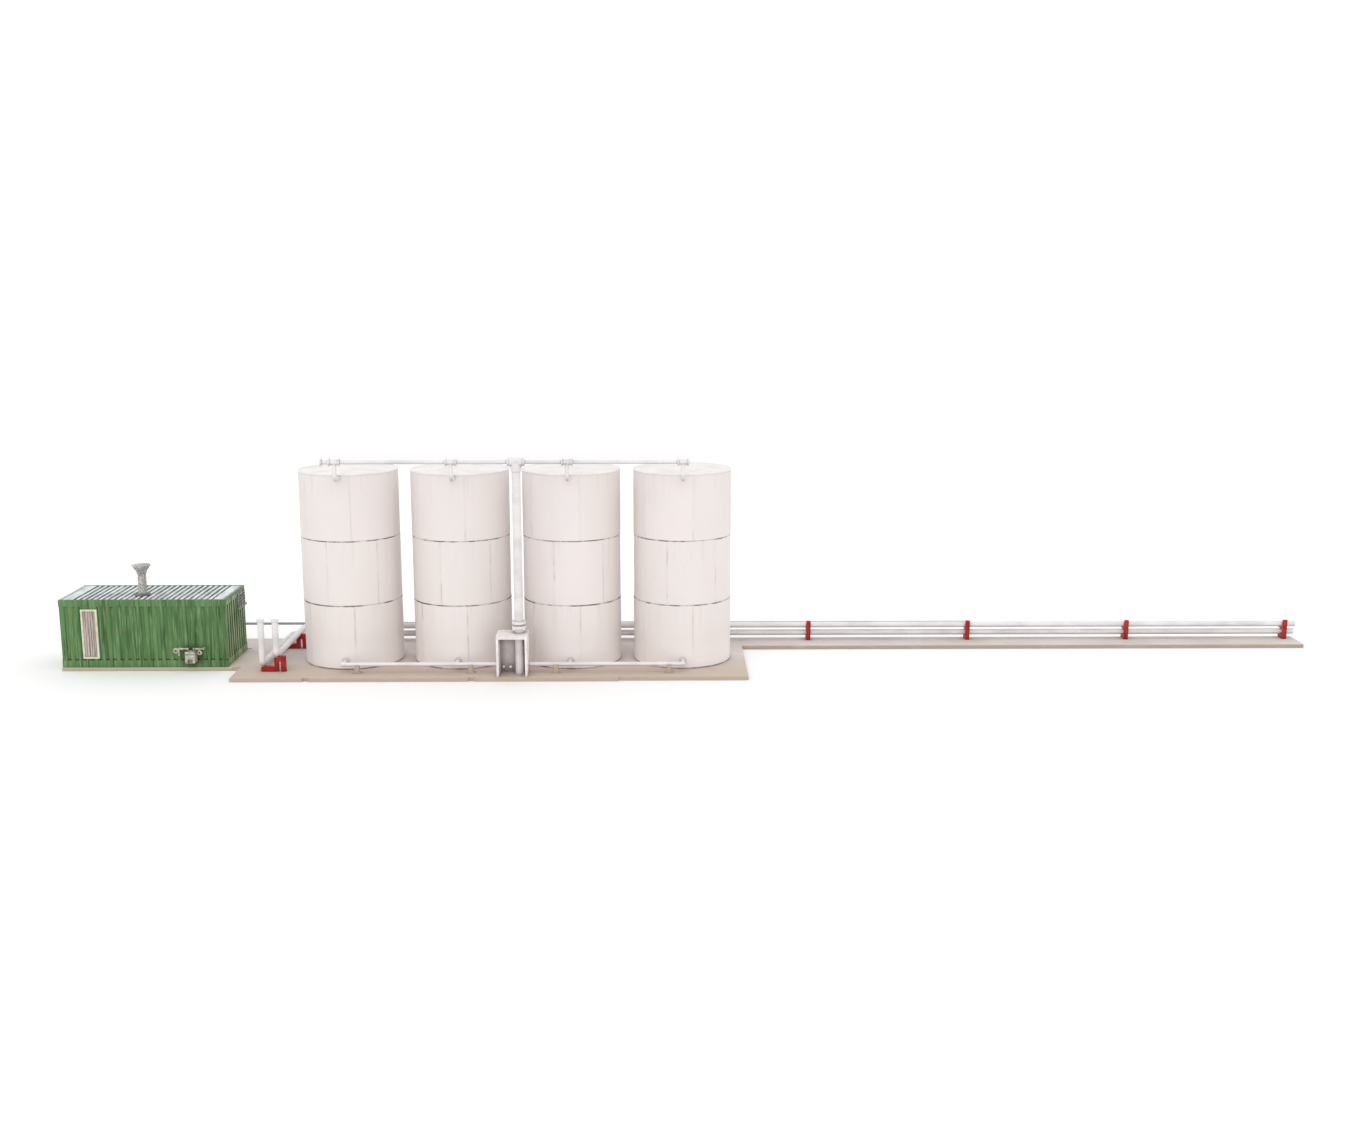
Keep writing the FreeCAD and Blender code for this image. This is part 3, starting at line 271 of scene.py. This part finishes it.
def tank_plates(paint, up, cloud):
    """Off-white paint, tinted plate by plate, clouded, with faint runs below each plate's top."""
    tint = paint.node("ShaderNodeAttribute", attribute_name="plate_tint").outputs["Fac"]
    colour = paint.mix(tint, srgb(216, 208, 207), srgb(210, 203, 198))
    colour = paint.mix(paint.between(cloud, 0.35, 0.75, 0, 0.4), colour, srgb(204, 199, 197))
    runs = paint.between(paint.speckle(1.6, (1, 1, 26), detail=4), 0.52, 0.72)
    near_top = paint.between(up, 0.35, 1.0)
    return paint.mix(paint.times(paint.times(runs, near_top), 0.12), colour, srgb(160, 148, 140))


def tank_joints(paint, colour, across, up):
    """Broken dirt on the upright seams, fainter high up, and a broken painted shadow line under the
    laps between the courses.
    """
    edge = paint.calculate("ABSOLUTE", paint.calculate("SUBTRACT", across, 0.5))
    seam = paint.between(edge, 0.480, 0.497)
    seam_break = paint.between(paint.speckle(5, (1, 1, 2)), 0.42, 0.62, 0.1, 1.0)
    upper_fade = paint.between(paint.axis("Z"), SEAM_FADE_START, SEAM_FADE_END, 1.0, 0.3)
    seam_shade = paint.times(paint.times(seam, seam_break), upper_fade)
    colour = paint.mix(paint.times(seam_shade, 0.32), colour, srgb(132, 122, 116))
    # A broken painted shadow line at the top of each course, under the lap of the course above.
    lap_shadow_line = paint.between(up, 0.982, 0.994)
    lap_shadow_break = paint.between(paint.speckle(6, detail=4), 0.38, 0.60, 0.15, 1.0)
    return paint.mix(paint.times(lap_shadow_line, lap_shadow_break), colour, srgb(84, 74, 72))


def tank_foot(paint, colour):
    """Painted light towards the tank's foot, against the shade near the plate, and a broken painted
    contact shadow where it meets the plate.
    """
    plate_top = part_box("tank_1_lower_course")[0].z
    height = paint.calculate("SUBTRACT", paint.axis("Z"), plate_top)
    # Painted light: paler towards the foot, lifting the shade near the plate.
    colour = paint.mix(paint.between(height, FOOT_LIGHT_END, FOOT_LIGHT_FULL, 0, 0.6), colour, srgb(228, 222, 221))
    # Painted contact shadow: a broken dark line where the tank meets the plate.
    contact_shadow_break = paint.between(paint.speckle(6), 0.35, 0.6, 0.4, 0.95)
    contact = paint.times(paint.between(height, CONTACT_SHADOW_END, CONTACT_SHADOW_FULL), contact_shadow_break)
    return paint.mix(contact, colour, srgb(92, 80, 76))


def tank_material():
    """The tank courses' paint, with its plates, joints, painted light and shadow at the foot, spots,
    and painted shade in its corners.
    """
    paint = Paint("tank_paint")
    plate = paint.node("ShaderNodeUVMap", uv_map="plate")
    split = paint.node("ShaderNodeSeparateXYZ")
    paint.link(plate.outputs["UV"], split.inputs[0])
    across = split.outputs["X"]
    up = split.outputs["Y"]
    cloud = paint.speckle(16, (1, 1, 2.2))
    colour = tank_plates(paint, up, cloud)
    colour = tank_joints(paint, colour, across, up)
    colour = tank_foot(paint, colour)
    spots = paint.between(paint.speckle(1.3, detail=2), 0.70, 0.76)
    colour = paint.mix(paint.times(spots, 0.2), colour, srgb(158, 136, 120))
    # Painted shade in the corners and grooves.
    colour = paint.mix(paint.times(paint.crevice_shade(0.8), 0.3), colour, srgb(130, 120, 116))
    paint.relief(paint.speckle(0.5, detail=2), 0.02)
    paint.relief(paint.speckle(9), 0.12)
    return paint.finish(colour, paint.between(cloud, 0.3, 0.7, 0.5, 0.66))


def tank_roof_material():
    """Off-white paint with fine dust, and painted shade in the corners."""
    paint = Paint("tank_roof_paint")
    cloud = paint.speckle(11)
    colour = paint.mix(paint.between(cloud, 0.35, 0.7), srgb(219, 215, 213), srgb(209, 205, 203))
    dust = paint.between(paint.speckle(1.4, detail=5), 0.55, 0.75)
    colour = paint.mix(paint.times(dust, 0.3), colour, srgb(178, 172, 166))
    # Painted shade in the corners and grooves.
    colour = paint.mix(paint.times(paint.crevice_shade(2.0), 0.6), colour, srgb(130, 124, 120))
    paint.relief(paint.speckle(0.6), 0.03)
    return paint.finish(colour, paint.between(cloud, 0.3, 0.7, 0.55, 0.7))


# The wash colour is laid on for the chips, and as painted shade underneath and at the joints.
def pipe_material(name, light, dark, wash):
    """Satin paint with faint mottling and chips, with painted shade underneath and at the joints."""
    paint = Paint(name)
    cloud = paint.speckle(7, (2.5, 1, 1))
    colour = paint.mix(paint.between(cloud, 0.35, 0.7), light, dark)
    # Painted shade on the underside, which faces away from the light.
    below = paint.between(paint.facing_up(), 0.1, -0.9)
    colour = paint.mix(paint.times(below, 0.4), colour, wash)
    chips = paint.between(paint.speckle(0.9, detail=4), 0.63, 0.72)
    colour = paint.mix(paint.times(chips, 0.35), colour, wash)
    # Painted shade at the joints.
    colour = paint.mix(paint.times(paint.crevice_shade(0.9), 0.65), colour, wash)
    paint.relief(paint.speckle(0.4), 0.015)
    return paint.finish(colour, paint.between(cloud, 0.3, 0.7, 0.42, 0.58))


TAN_FRONT_REACH = 30 * MM


# The edge colour is painted shade on the sides; the wash colour serves for the grain and for the
# painted shade in the corners.
def base_material(name, pale, deep, wash, edge, tan_front_amount=0.0):
    """Matte sand-textured plastic with patchy washes, painted shade on its sides and in its corners
    and, if asked, a tan front.
    """
    paint = Paint(name)
    patch = paint.speckle(26, (1.6, 1, 1))
    colour = paint.mix(paint.between(patch, 0.35, 0.68), pale, deep)
    # Painted shade on the sides, which face away from the light above.
    colour = paint.mix(paint.between(paint.facing_up(), 0.8, 0.3), colour, edge)
    tan_towards_front = paint.between(paint.axis("Y"), 0, -TAN_FRONT_REACH, 0, tan_front_amount)
    colour = paint.mix(tan_towards_front, colour, srgb(180, 163, 144))
    grain = paint.speckle(0.45, detail=4, roughness=0.7)
    colour = paint.mix(paint.between(grain, 0.5, 0.75, 0, 0.45), colour, wash)
    drift = paint.speckle(3.2, (3, 1, 1), detail=5)
    colour = paint.mix(paint.between(drift, 0.5, 0.72, 0, 0.35), colour, deep)
    # Painted shade in the corners and grooves.
    colour = paint.mix(paint.times(paint.crevice_shade(3.5), 0.5), colour, wash)
    paint.relief(grain, 0.06)
    return paint.finish(colour, 0.82)


# Each wall's axis of facing, which way it faces, how dark it is between its ribs, and how worn on them.
WALLS = {
    "pump_house_front_wall": (1, -1, 0.05, 0.0),
    "pump_house_back_wall": (1, 1, 0.05, 0.0),
    "pump_house_left_wall": (0, -1, 0.9, 0.55),
    "pump_house_right_wall": (0, 1, 0.9, 0.55),
}

# Depths behind the crests of the ribs: where the groove's shade and the crest's wear begin and end.
GROOVE_START = 0.15 * MM
GROOVE_FULL = 0.5 * MM
CREST_FULL = 0.12 * MM
CREST_END = 0.3 * MM

# The dark dash at the foot of each groove: its reach from the bottom rail's top, down and up.
BOTTOM_RAIL = 3.6 * MM
DASH_DOWN_FULL = 0.1 * MM
DASH_DOWN_END = 0.5 * MM
DASH_UP_FULL = 0.3 * MM
DASH_UP_END = 0.9 * MM

# The darker paint round the meter, in millimetres from the meter's middle.
METER_DARK_FULL = 4.0
METER_DARK_END = 7.5


def wall_streaks(paint, fine):
    """Green paint streaked downwards, paler and darker, with rusty patches."""
    broad = paint.speckle(9, (1, 1, 5), detail=3)
    colour = paint.mix(paint.between(broad, 0.35, 0.68), srgb(82, 118, 70), srgb(66, 98, 56))
    colour = paint.mix(paint.between(fine, 0.46, 0.70, 0, 0.7), colour, srgb(122, 150, 104))
    runs = paint.speckle(1.3, (1, 1, 18), detail=4)
    colour = paint.mix(paint.between(runs, 0.50, 0.70, 0, 0.75), colour, srgb(36, 64, 28))
    rust = paint.between(paint.speckle(5), 0.56, 0.74)
    return paint.mix(paint.times(rust, 0.4), colour, srgb(112, 104, 72))


def wall_ribs(paint, colour, inwards, rib_foot, groove_shade, crest_wear):
    """Shade between the ribs, wear on their crests, and a dark dash at the foot of each groove."""
    groove = paint.between(inwards, GROOVE_START, GROOVE_FULL)
    colour = paint.mix(paint.times(groove, groove_shade), colour, srgb(34, 58, 26))
    worn = paint.between(paint.speckle(2.5, (1, 1, 6)), 0.35, 0.6)
    crest = paint.times(paint.between(inwards, CREST_END, CREST_FULL), worn)
    colour = paint.mix(paint.times(crest, crest_wear), colour, srgb(166, 176, 146))
    height = paint.axis("Z")
    dash = paint.times(paint.between(height, rib_foot - DASH_DOWN_END, rib_foot - DASH_DOWN_FULL),
                       paint.between(height, rib_foot + DASH_UP_END, rib_foot + DASH_UP_FULL))
    return paint.mix(paint.times(paint.times(dash, groove), 0.7), colour, srgb(22, 40, 16))


def wall_material(node, axis, outward, groove_shade, crest_wear):
    """The paint of one wall: streaks, ribs, darker paint round the meter and painted shade in the
    corners.
    """
    paint = Paint(f"{node}_paint")
    low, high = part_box(node)
    face = high[axis] if outward > 0 else low[axis]
    gap = paint.calculate("SUBTRACT", face, paint.axis("XYZ"[axis]))
    inwards = paint.times(gap, outward)
    fine = paint.speckle(0.8, (1, 1, 14), detail=4)
    colour = wall_streaks(paint, fine)
    colour = wall_ribs(paint, colour, inwards, low.z + BOTTOM_RAIL, groove_shade, crest_wear)
    meter_low, meter_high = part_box("meter_body")
    # Darker paint round the meter.
    meter_darkening = paint.near((meter_low + meter_high) / 2, METER_DARK_FULL, METER_DARK_END)
    colour = paint.mix(paint.times(meter_darkening, 0.7), colour, srgb(36, 48, 26))
    # Painted shade in the corners and grooves.
    colour = paint.mix(paint.times(paint.crevice_shade(1.0), 0.35), colour, srgb(22, 42, 18))
    paint.relief(paint.speckle(0.35), 0.02)
    return paint.finish(colour, paint.between(fine, 0.3, 0.7, 0.55, 0.72))


# The pump house roof: its ribs' height, and how far in from each end the green shows.
HOUSE_ROOF_RIB = 0.4 * MM
LEFT_GREEN_FULL = 2.2 * MM
LEFT_GREEN_END = 3.6 * MM
RIGHT_GREEN_FULL = 0.2 * MM
RIGHT_GREEN_END = 1.2 * MM
GREEN_RAGGEDNESS = 1.5 * MM


def house_roof_material():
    """Pale grey ribs with a dark wash left between them, green showing at both ends, and painted shade
    in the corners.
    """
    paint = Paint("house_roof_paint")
    low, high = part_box("pump_house_roof")
    rise = paint.between(paint.axis("Z"), high.z - HOUSE_ROOF_RIB, high.z - 0.1 * HOUSE_ROOF_RIB)
    worn = paint.speckle(5, (1, 3, 1), detail=4)
    pale = paint.mix(paint.between(worn, 0.35, 0.7), srgb(208, 214, 213), srgb(172, 180, 179))
    wash = paint.between(paint.speckle(2.2, (1, 4, 1)), 0.3, 0.6, 0.55, 1.0)
    groove = paint.mix(wash, pale, srgb(52, 62, 60))
    colour = paint.mix(rise, groove, pale)
    unevenness = paint.times(paint.speckle(4), GREEN_RAGGEDNESS)
    ragged = paint.calculate("ADD", paint.axis("X"), unevenness)
    left_edge = paint.between(ragged, low.x + LEFT_GREEN_END, low.x + LEFT_GREEN_FULL)
    right_edge = paint.between(ragged, high.x - RIGHT_GREEN_END, high.x - RIGHT_GREEN_FULL)
    colour = paint.mix(paint.times(left_edge, 0.6), colour, srgb(96, 120, 92))
    colour = paint.mix(paint.times(right_edge, 0.8), colour, srgb(76, 100, 72))
    specks = paint.between(paint.speckle(0.9, detail=4), 0.6, 0.72)
    colour = paint.mix(paint.times(specks, 0.3), colour, srgb(120, 126, 126))
    # Painted shade in the corners and grooves.
    colour = paint.mix(paint.times(paint.crevice_shade(1.2), 0.6), colour, srgb(50, 54, 54))
    paint.relief(paint.speckle(0.5), 0.02)
    return paint.finish(colour, 0.62)


def door_leaf_material():
    """Weathered pinkish-grey planks with fine upright grain, and painted shade in the corners."""
    paint = Paint("door_leaf_paint")
    grain = paint.speckle(0.4, (1, 1, 30), detail=5, roughness=0.7)
    colour = paint.mix(paint.between(grain, 0.4, 0.65), srgb(184, 172, 164), srgb(120, 108, 100))
    patch = paint.speckle(4, (1, 1, 2))
    colour = paint.mix(paint.between(patch, 0.45, 0.75, 0, 0.4), colour, srgb(194, 184, 172))
    # Painted shade in the corners and gaps.
    colour = paint.mix(paint.times(paint.crevice_shade(0.6), 0.7), colour, srgb(92, 80, 76))
    paint.relief(grain, 0.05)
    return paint.finish(colour, 0.75)


# The wash colour serves for the specks and for the painted shade in the corners.
def worn_material(name, pale, deep, wash, patch_size=3.0, reach=0.9, roughness=0.6, depth=0.75):
    """Small cast pieces: patchy paint, with painted shade in the corners."""
    paint = Paint(name)
    patch = paint.speckle(patch_size)
    colour = paint.mix(paint.between(patch, 0.35, 0.68), pale, deep)
    specks = paint.between(paint.speckle(0.6, detail=4), 0.56, 0.7)
    colour = paint.mix(paint.times(specks, 0.4), colour, wash)
    # Painted shade in the corners, hollows and insides.
    colour = paint.mix(paint.times(paint.crevice_shade(reach, depth), 0.8), colour, wash)
    paint.relief(paint.speckle(0.4), 0.02)
    return paint.finish(colour, paint.between(patch, 0.3, 0.7, roughness - 0.08, roughness + 0.08))


# The chimney: the width of the painted shade on its right side, the place of the painted shade under
# the cowl below its top and its reach in millimetres round there, and the height of the dark band at
# its foot.
CHIMNEY_SHADE_WIDTH = 2 * MM
NECK_BELOW_TOP = 0.6 * MM
NECK_SHADE_FULL = 1.2
NECK_SHADE_END = 3.4
FOOT_DARK_FULL = 0.3 * MM
FOOT_DARK_END = 1.4 * MM


def chimney_material():
    """Speckled grey casting, with painted shade on its right side and under the cowl at the neck, and
    darker at the foot.
    """
    paint = Paint("chimney_paint")
    stack_low, stack_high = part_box("chimney_stack")
    middle = (stack_low + stack_high) / 2
    fleck = paint.between(paint.speckle(0.45, detail=3, roughness=0.7), 0.42, 0.58)
    colour = paint.mix(fleck, srgb(208, 202, 199), srgb(112, 112, 104))
    # Painted shade on the right side of the stack.
    shade = paint.between(paint.axis("X"), middle.x, middle.x + CHIMNEY_SHADE_WIDTH, 0, 0.35)
    colour = paint.mix(shade, colour, srgb(96, 104, 90))
    # Painted shade under the cowl, on the front of the neck.
    neck_centre = (middle.x, stack_low.y, stack_high.z - NECK_BELOW_TOP)
    neck = paint.near(neck_centre, NECK_SHADE_FULL, NECK_SHADE_END)
    colour = paint.mix(paint.times(neck, 0.45), colour, srgb(84, 76, 74))
    # Darker towards the foot.
    foot = paint.between(paint.axis("Z"), stack_low.z + FOOT_DARK_END, stack_low.z + FOOT_DARK_FULL)
    colour = paint.mix(paint.times(foot, 0.7), colour, srgb(58, 58, 54))
    paint.relief(paint.speckle(0.4), 0.05)
    return paint.finish(colour, paint.between(fleck, 0, 1, 0.55, 0.7))


def make_materials():
    """One material for each material slot of the record but the walls', which have one each."""
    return {
        "tank_paint": tank_material(),
        "pipe_paint": pipe_material("pipe_paint", srgb(214, 210, 210), srgb(198, 193, 194),
                                    srgb(98, 94, 98)),
        "feed_pipe_grey": pipe_material("feed_pipe_paint", srgb(160, 164, 170), srgb(136, 141, 148),
                                        srgb(76, 80, 86)),
        "yard_base": base_material("yard_base_paint", srgb(200, 192, 188), srgb(186, 177, 173),
                                   srgb(150, 140, 134), srgb(160, 144, 128), tan_front_amount=0.7),
        "house_base": base_material("house_base_paint", srgb(200, 192, 172), srgb(186, 176, 156),
                                    srgb(130, 118, 94), srgb(174, 166, 144)),
        "roof_grey": house_roof_material(),
        "door_leaf_grey": door_leaf_material(),
        "door_frame_cream": worn_material("door_frame_paint", srgb(204, 202, 180), srgb(184, 182, 156),
                                          srgb(128, 122, 94)),
        "cabinet_paint": worn_material("cabinet_paint", srgb(226, 219, 217), srgb(208, 202, 200),
                                       srgb(104, 94, 94), patch_size=6, reach=6),
        "knob_white": worn_material("knob_paint", srgb(246, 232, 238), srgb(232, 214, 222),
                                    srgb(150, 120, 130), roughness=0.4),
        "support_red": worn_material("support_paint", srgb(164, 30, 18), srgb(126, 16, 10),
                                     srgb(58, 4, 4), roughness=0.45),
        "chimney_grey": chimney_material(),
        "meter_cream": worn_material("meter_paint", srgb(184, 180, 166), srgb(140, 135, 121),
                                     srgb(36, 34, 26), patch_size=1.6, reach=1.2, depth=0.6),
        "vent_grey": worn_material("vent_paint", srgb(142, 148, 138), srgb(98, 106, 94),
                                   srgb(54, 56, 54), patch_size=2.0, reach=1.0),
    }


def paint_cad_nodes(materials):
    """Give every CAD node the material of its slot in the record, and each wall its own."""
    for subpart in frame["record"]["subparts"]:
        mesh = NODES[subpart["node"]].data
        mesh.materials.clear()
        if subpart["node"] in WALLS:
            mesh.materials.append(wall_material(subpart["node"], *WALLS[subpart["node"]]))
        else:
            mesh.materials.append(materials[subpart["material_slot"]])


# ------------------------------------------------------------ softened edges

WELD_REACH = 0.002 * MM
EDGE_SEGMENTS = 2
EDGE_ANGLE = math.radians(40)

# The pieces whose edges are rounded, by the width of the rounding in millimetres.
SOFT_EDGES = {
    0.2: ["main_base_plate", "pipeline_base_strip", "pump_house_base"],
    0.18: ["valve_cabinet"],
    0.15: ["meter_body", "bottom_pipe_posts", "yard_support_front", "yard_support_back",
           "rack_supports_behind_tanks"] + [f"rack_support_{number}" for number in (1, 2, 3, 4)],
    0.12: ["door_frame"],
    0.08: ["end_vent"],
    0.06: ["pump_house_roof"],
}


def soften(node, width):
    """Weld a piece's mesh and round its sharp edges."""
    weld = node.modifiers.new("weld", "WELD")
    weld.merge_threshold = WELD_REACH
    bevel = node.modifiers.new("rounded_edges", "BEVEL")
    bevel.width = width
    bevel.segments = EDGE_SEGMENTS
    bevel.limit_method = "ANGLE"
    bevel.angle_limit = EDGE_ANGLE
    bevel.harden_normals = True


def soften_edges():
    """Round the moulded pieces' sharp edges a little, as casting leaves them."""
    for width, names in SOFT_EDGES.items():
        for name in names:
            soften(NODES[name], width * MM)


# ------------------------------------------------------------ mesh helpers

SHARP_ANGLE = math.radians(38)


def new_piece(name, vertices, faces, material, slot, *replaced):
    """A mesh piece that stands for CAD nodes, in the material it is given."""
    mesh = bpy.data.meshes.new(name)
    mesh.from_pydata(vertices, [], faces)
    mesh.validate()
    mesh.materials.append(material)
    for polygon in mesh.polygons:
        polygon.use_smooth = True
    mesh.set_sharp_from_angle(angle=SHARP_ANGLE)
    piece = bpy.data.objects.new(name, mesh)
    bpy.context.scene.collection.objects.link(piece)
    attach(piece, "root")
    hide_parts(*replaced)
    return piece


def quad(column, following, row, above, rows):
    """The face between two columns and two rows of a grid stored column by column."""
    return (column * rows + row, following * rows + row,
            following * rows + above, column * rows + above)


# ------------------------------------------------------------ tanks

PLATES_PER_COURSE = 6
COLUMNS_PER_PLATE = 26
ROWS_PER_COURSE = 14
PLATE_LAP = 0.16 * MM
LAP_SHARE = 0.08
LAP_STEP = math.radians(0.35)
SHELL_WALL = 1.2 * MM
EDGE_ROUND = 0.12 * MM
FIRST_SEAM = {"lower": 12.0, "middle": -18.0, "upper": 12.0}
FRONT = math.radians(-90)

# Nothing laps over the top course, so the map of its plates ends below the lap's painted shadow line.
TOP_EDGE_SHARE = 0.98

# Dents: their size, and how fast the noise changes round the tank, up it and from tank to tank.
DENT = 0.07 * MM
DENTS_AROUND = 1.7
DENT_HEIGHT = 14 * MM
DENT_TANK_STEP = 7.3

# How far apart the tint's noise is read for the next plate, the next tank and the next course.
TINT_PLATE_STEP = 3.1
TINT_TANK_STEP = 5.7
TINT_COURSE_STEP = 2.3


def smooth_rise(value):
    """An S-shaped rise from 0 to 1, level before 0 and after 1."""
    value = min(1.0, max(0.0, value))
    return value * value * (3 - 2 * value)


def course_columns(course):
    """(angle, plate, share of the plate, lift of the lap) of each column of a course."""
    plate_angle = 2 * math.pi / PLATES_PER_COURSE
    start = FRONT + math.radians(FIRST_SEAM[course])
    for plate in range(PLATES_PER_COURSE):
        for column in range(COLUMNS_PER_PLATE):
            share = column / (COLUMNS_PER_PLATE - 1)
            angle = start + plate * plate_angle + share * (plate_angle - LAP_STEP)
            yield angle, plate, share, PLATE_LAP * smooth_rise((share - 1) / LAP_SHARE + 1)


def course_profile(outer, bottom, top):
    """(radius, z, share of the height) from the inner foot, up the outside, to the inner top."""
    inner = outer - SHELL_WALL
    height = top - bottom
    profile = [(inner, bottom, 0.0), (outer - EDGE_ROUND, bottom, 0.0)]
    for row in range(ROWS_PER_COURSE + 1):
        share = row / ROWS_PER_COURSE
        profile.append((outer, bottom + EDGE_ROUND + share * (height - 2 * EDGE_ROUND), share))
    profile += [(outer - EDGE_ROUND, top, 1.0), (inner, top, 1.0)]
    return profile


def course_vertices(tank, centre, columns, profile):
    """The profile set up at every column, dented and lifted over the laps on the outside."""
    inner = profile[0][0]
    vertices = []
    for angle, _, _, lift in columns:
        outward = Vector((math.cos(angle), math.sin(angle), 0))
        for radius, z, _ in profile:
            on_face = radius > inner
            place = Vector((outward.x * DENTS_AROUND, outward.y * DENTS_AROUND,
                            z / DENT_HEIGHT + tank * DENT_TANK_STEP))
            dish = DENT * (noise.noise(place) - 0.5) if on_face else 0
            point = centre + outward * (radius + dish + (lift if on_face else 0))
            vertices.append((point.x, point.y, z))
    return vertices


def plate_tint(tank, course, plate):
    """A steady shade for one plate, between 0 and 1."""
    place = Vector((plate * TINT_PLATE_STEP, tank * TINT_TANK_STEP,
                    COURSES.index(course) * TINT_COURSE_STEP))
    return 0.5 + 0.5 * noise.noise(place)


def course_faces(tank, course, columns, profile):
    """The faces of a course, with each corner's place on its plate and each face's tint."""
    rows = len(profile)
    reach = TOP_EDGE_SHARE if course == "upper" else 1.0
    faces = []
    plate_uv = []
    tints = []
    for column, (_, plate, share, _) in enumerate(columns):
        following = (column + 1) % len(columns)
        next_share = columns[following][2]
        if next_share < share:
            share, next_share = 1.0, 1.0
        tint = plate_tint(tank, course, plate)
        for row in range(rows):
            above = (row + 1) % rows
            faces.append(quad(column, following, row, above, rows))
            low_v = profile[row][2] * reach
            high_v = profile[above][2] * reach
            plate_uv += [(share, low_v), (next_share, low_v), (next_share, high_v), (share, high_v)]
            tints.append(tint)
    return faces, plate_uv, tints


def make_course(tank, course, top, paint):
    """A ring of six lapped, slightly dented plates."""
    node = f"tank_{tank}_{course}_course"
    low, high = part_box(node)
    centre = Vector(((low.x + high.x) / 2, (low.y + high.y) / 2, 0))
    columns = list(course_columns(course))
    profile = course_profile((high.x - low.x) / 2 - PLATE_LAP, low.z, top)
    vertices = course_vertices(tank, centre, columns, profile)
    faces, plate_uv, tints = course_faces(tank, course, columns, profile)
    shell = new_piece(f"tank_{tank}_{course}_shell", vertices, faces, paint, "tank_paint", node)
    layer = shell.data.uv_layers.new(name="plate")
    for loop, uv in zip(layer.data, plate_uv):
        loop.uv = uv
    tint_layer = shell.data.attributes.new("plate_tint", "FLOAT", "FACE")
    for item, tint in zip(tint_layer.data, tints):
        item.value = tint


ROOF_COLUMNS = 144
ROOF_RINGS = 7
ROOF_RIM = 0.35 * MM
ROOF_SEAT = 1.3 * MM
RIM_UNDERCUT = 0.1 * MM
RIM_FOOT = 0.15 * MM
RIM_SHOULDER = 0.05 * MM
KERB_HEIGHT = 0.2 * MM
KERB_OUTER = 0.2 * MM
KERB_INNER = 0.7 * MM
CONE_INSET = 0.9 * MM
CONE_FULLNESS = 0.8


def roof_profile(radius, seat, rim_top, peak):
    """(distance from the middle, z) from the seat, round the rim, over the kerb and up the cone."""
    profile = [
        (radius - ROOF_SEAT, seat),
        (radius - RIM_UNDERCUT, seat),
        (radius, seat + RIM_FOOT),
        (radius, rim_top + RIM_SHOULDER),
        (radius - KERB_OUTER, rim_top + KERB_HEIGHT),
        (radius - KERB_INNER, rim_top + KERB_HEIGHT),
        (radius - CONE_INSET, rim_top),
    ]
    rise = peak - rim_top
    for ring in range(1, ROOF_RINGS):
        share = ring / ROOF_RINGS
        profile.append(((radius - CONE_INSET) * (1 - share),
                        rim_top + rise * smooth_rise(share) ** CONE_FULLNESS))
    return profile


def make_tank_roof(tank, roof_paint):
    """A low rounded cone with a kerb just inside its rim, closed underneath."""
    node = f"tank_{tank}_roof"
    low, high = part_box(node)
    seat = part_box(f"tank_{tank}_upper_course")[1].z
    centre_x = (low.x + high.x) / 2
    profile = roof_profile((high.x - low.x) / 2, seat, seat + ROOF_RIM, high.z)
    vertices = []
    for column in range(ROOF_COLUMNS):
        angle = 2 * math.pi * column / ROOF_COLUMNS
        for distance, z in profile:
            vertices.append((centre_x + distance * math.cos(angle), distance * math.sin(angle), z))
    rows = len(profile)
    following_column = [(column + 1) % ROOF_COLUMNS for column in range(ROOF_COLUMNS)]
    faces = []
    for column, following in enumerate(following_column):
        for row in range(rows - 1):
            faces.append(quad(column, following, row, row + 1, rows))
    peak = len(vertices)
    vertices.append((centre_x, 0, high.z))
    underside = len(vertices)
    vertices.append((centre_x, 0, seat))
    for column, following in enumerate(following_column):
        faces.append((column * rows + rows - 1, following * rows + rows - 1, peak))
        faces.append((following * rows, column * rows, underside))
    new_piece(f"tank_{tank}_cone_roof", vertices, faces, roof_paint, "tank_paint", node)


def make_tanks(materials):
    """Three courses and a roof for each tank; each course reaches up to the foot of the next."""
    roof_paint = tank_roof_material()
    for tank in TANKS:
        bottoms = [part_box(f"tank_{tank}_{course}_course")[0].z for course in COURSES]
        tops = bottoms[1:] + [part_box(f"tank_{tank}_upper_course")[1].z]
        for course, top in zip(COURSES, tops):
            make_course(tank, course, top, materials["tank_paint"])
        make_tank_roof(tank, roof_paint)


# ------------------------------------------------------------ whole model


make_camera()
make_studio()
make_floor()
materials = make_materials()
paint_cad_nodes(materials)
soften_edges()
make_tanks(materials)
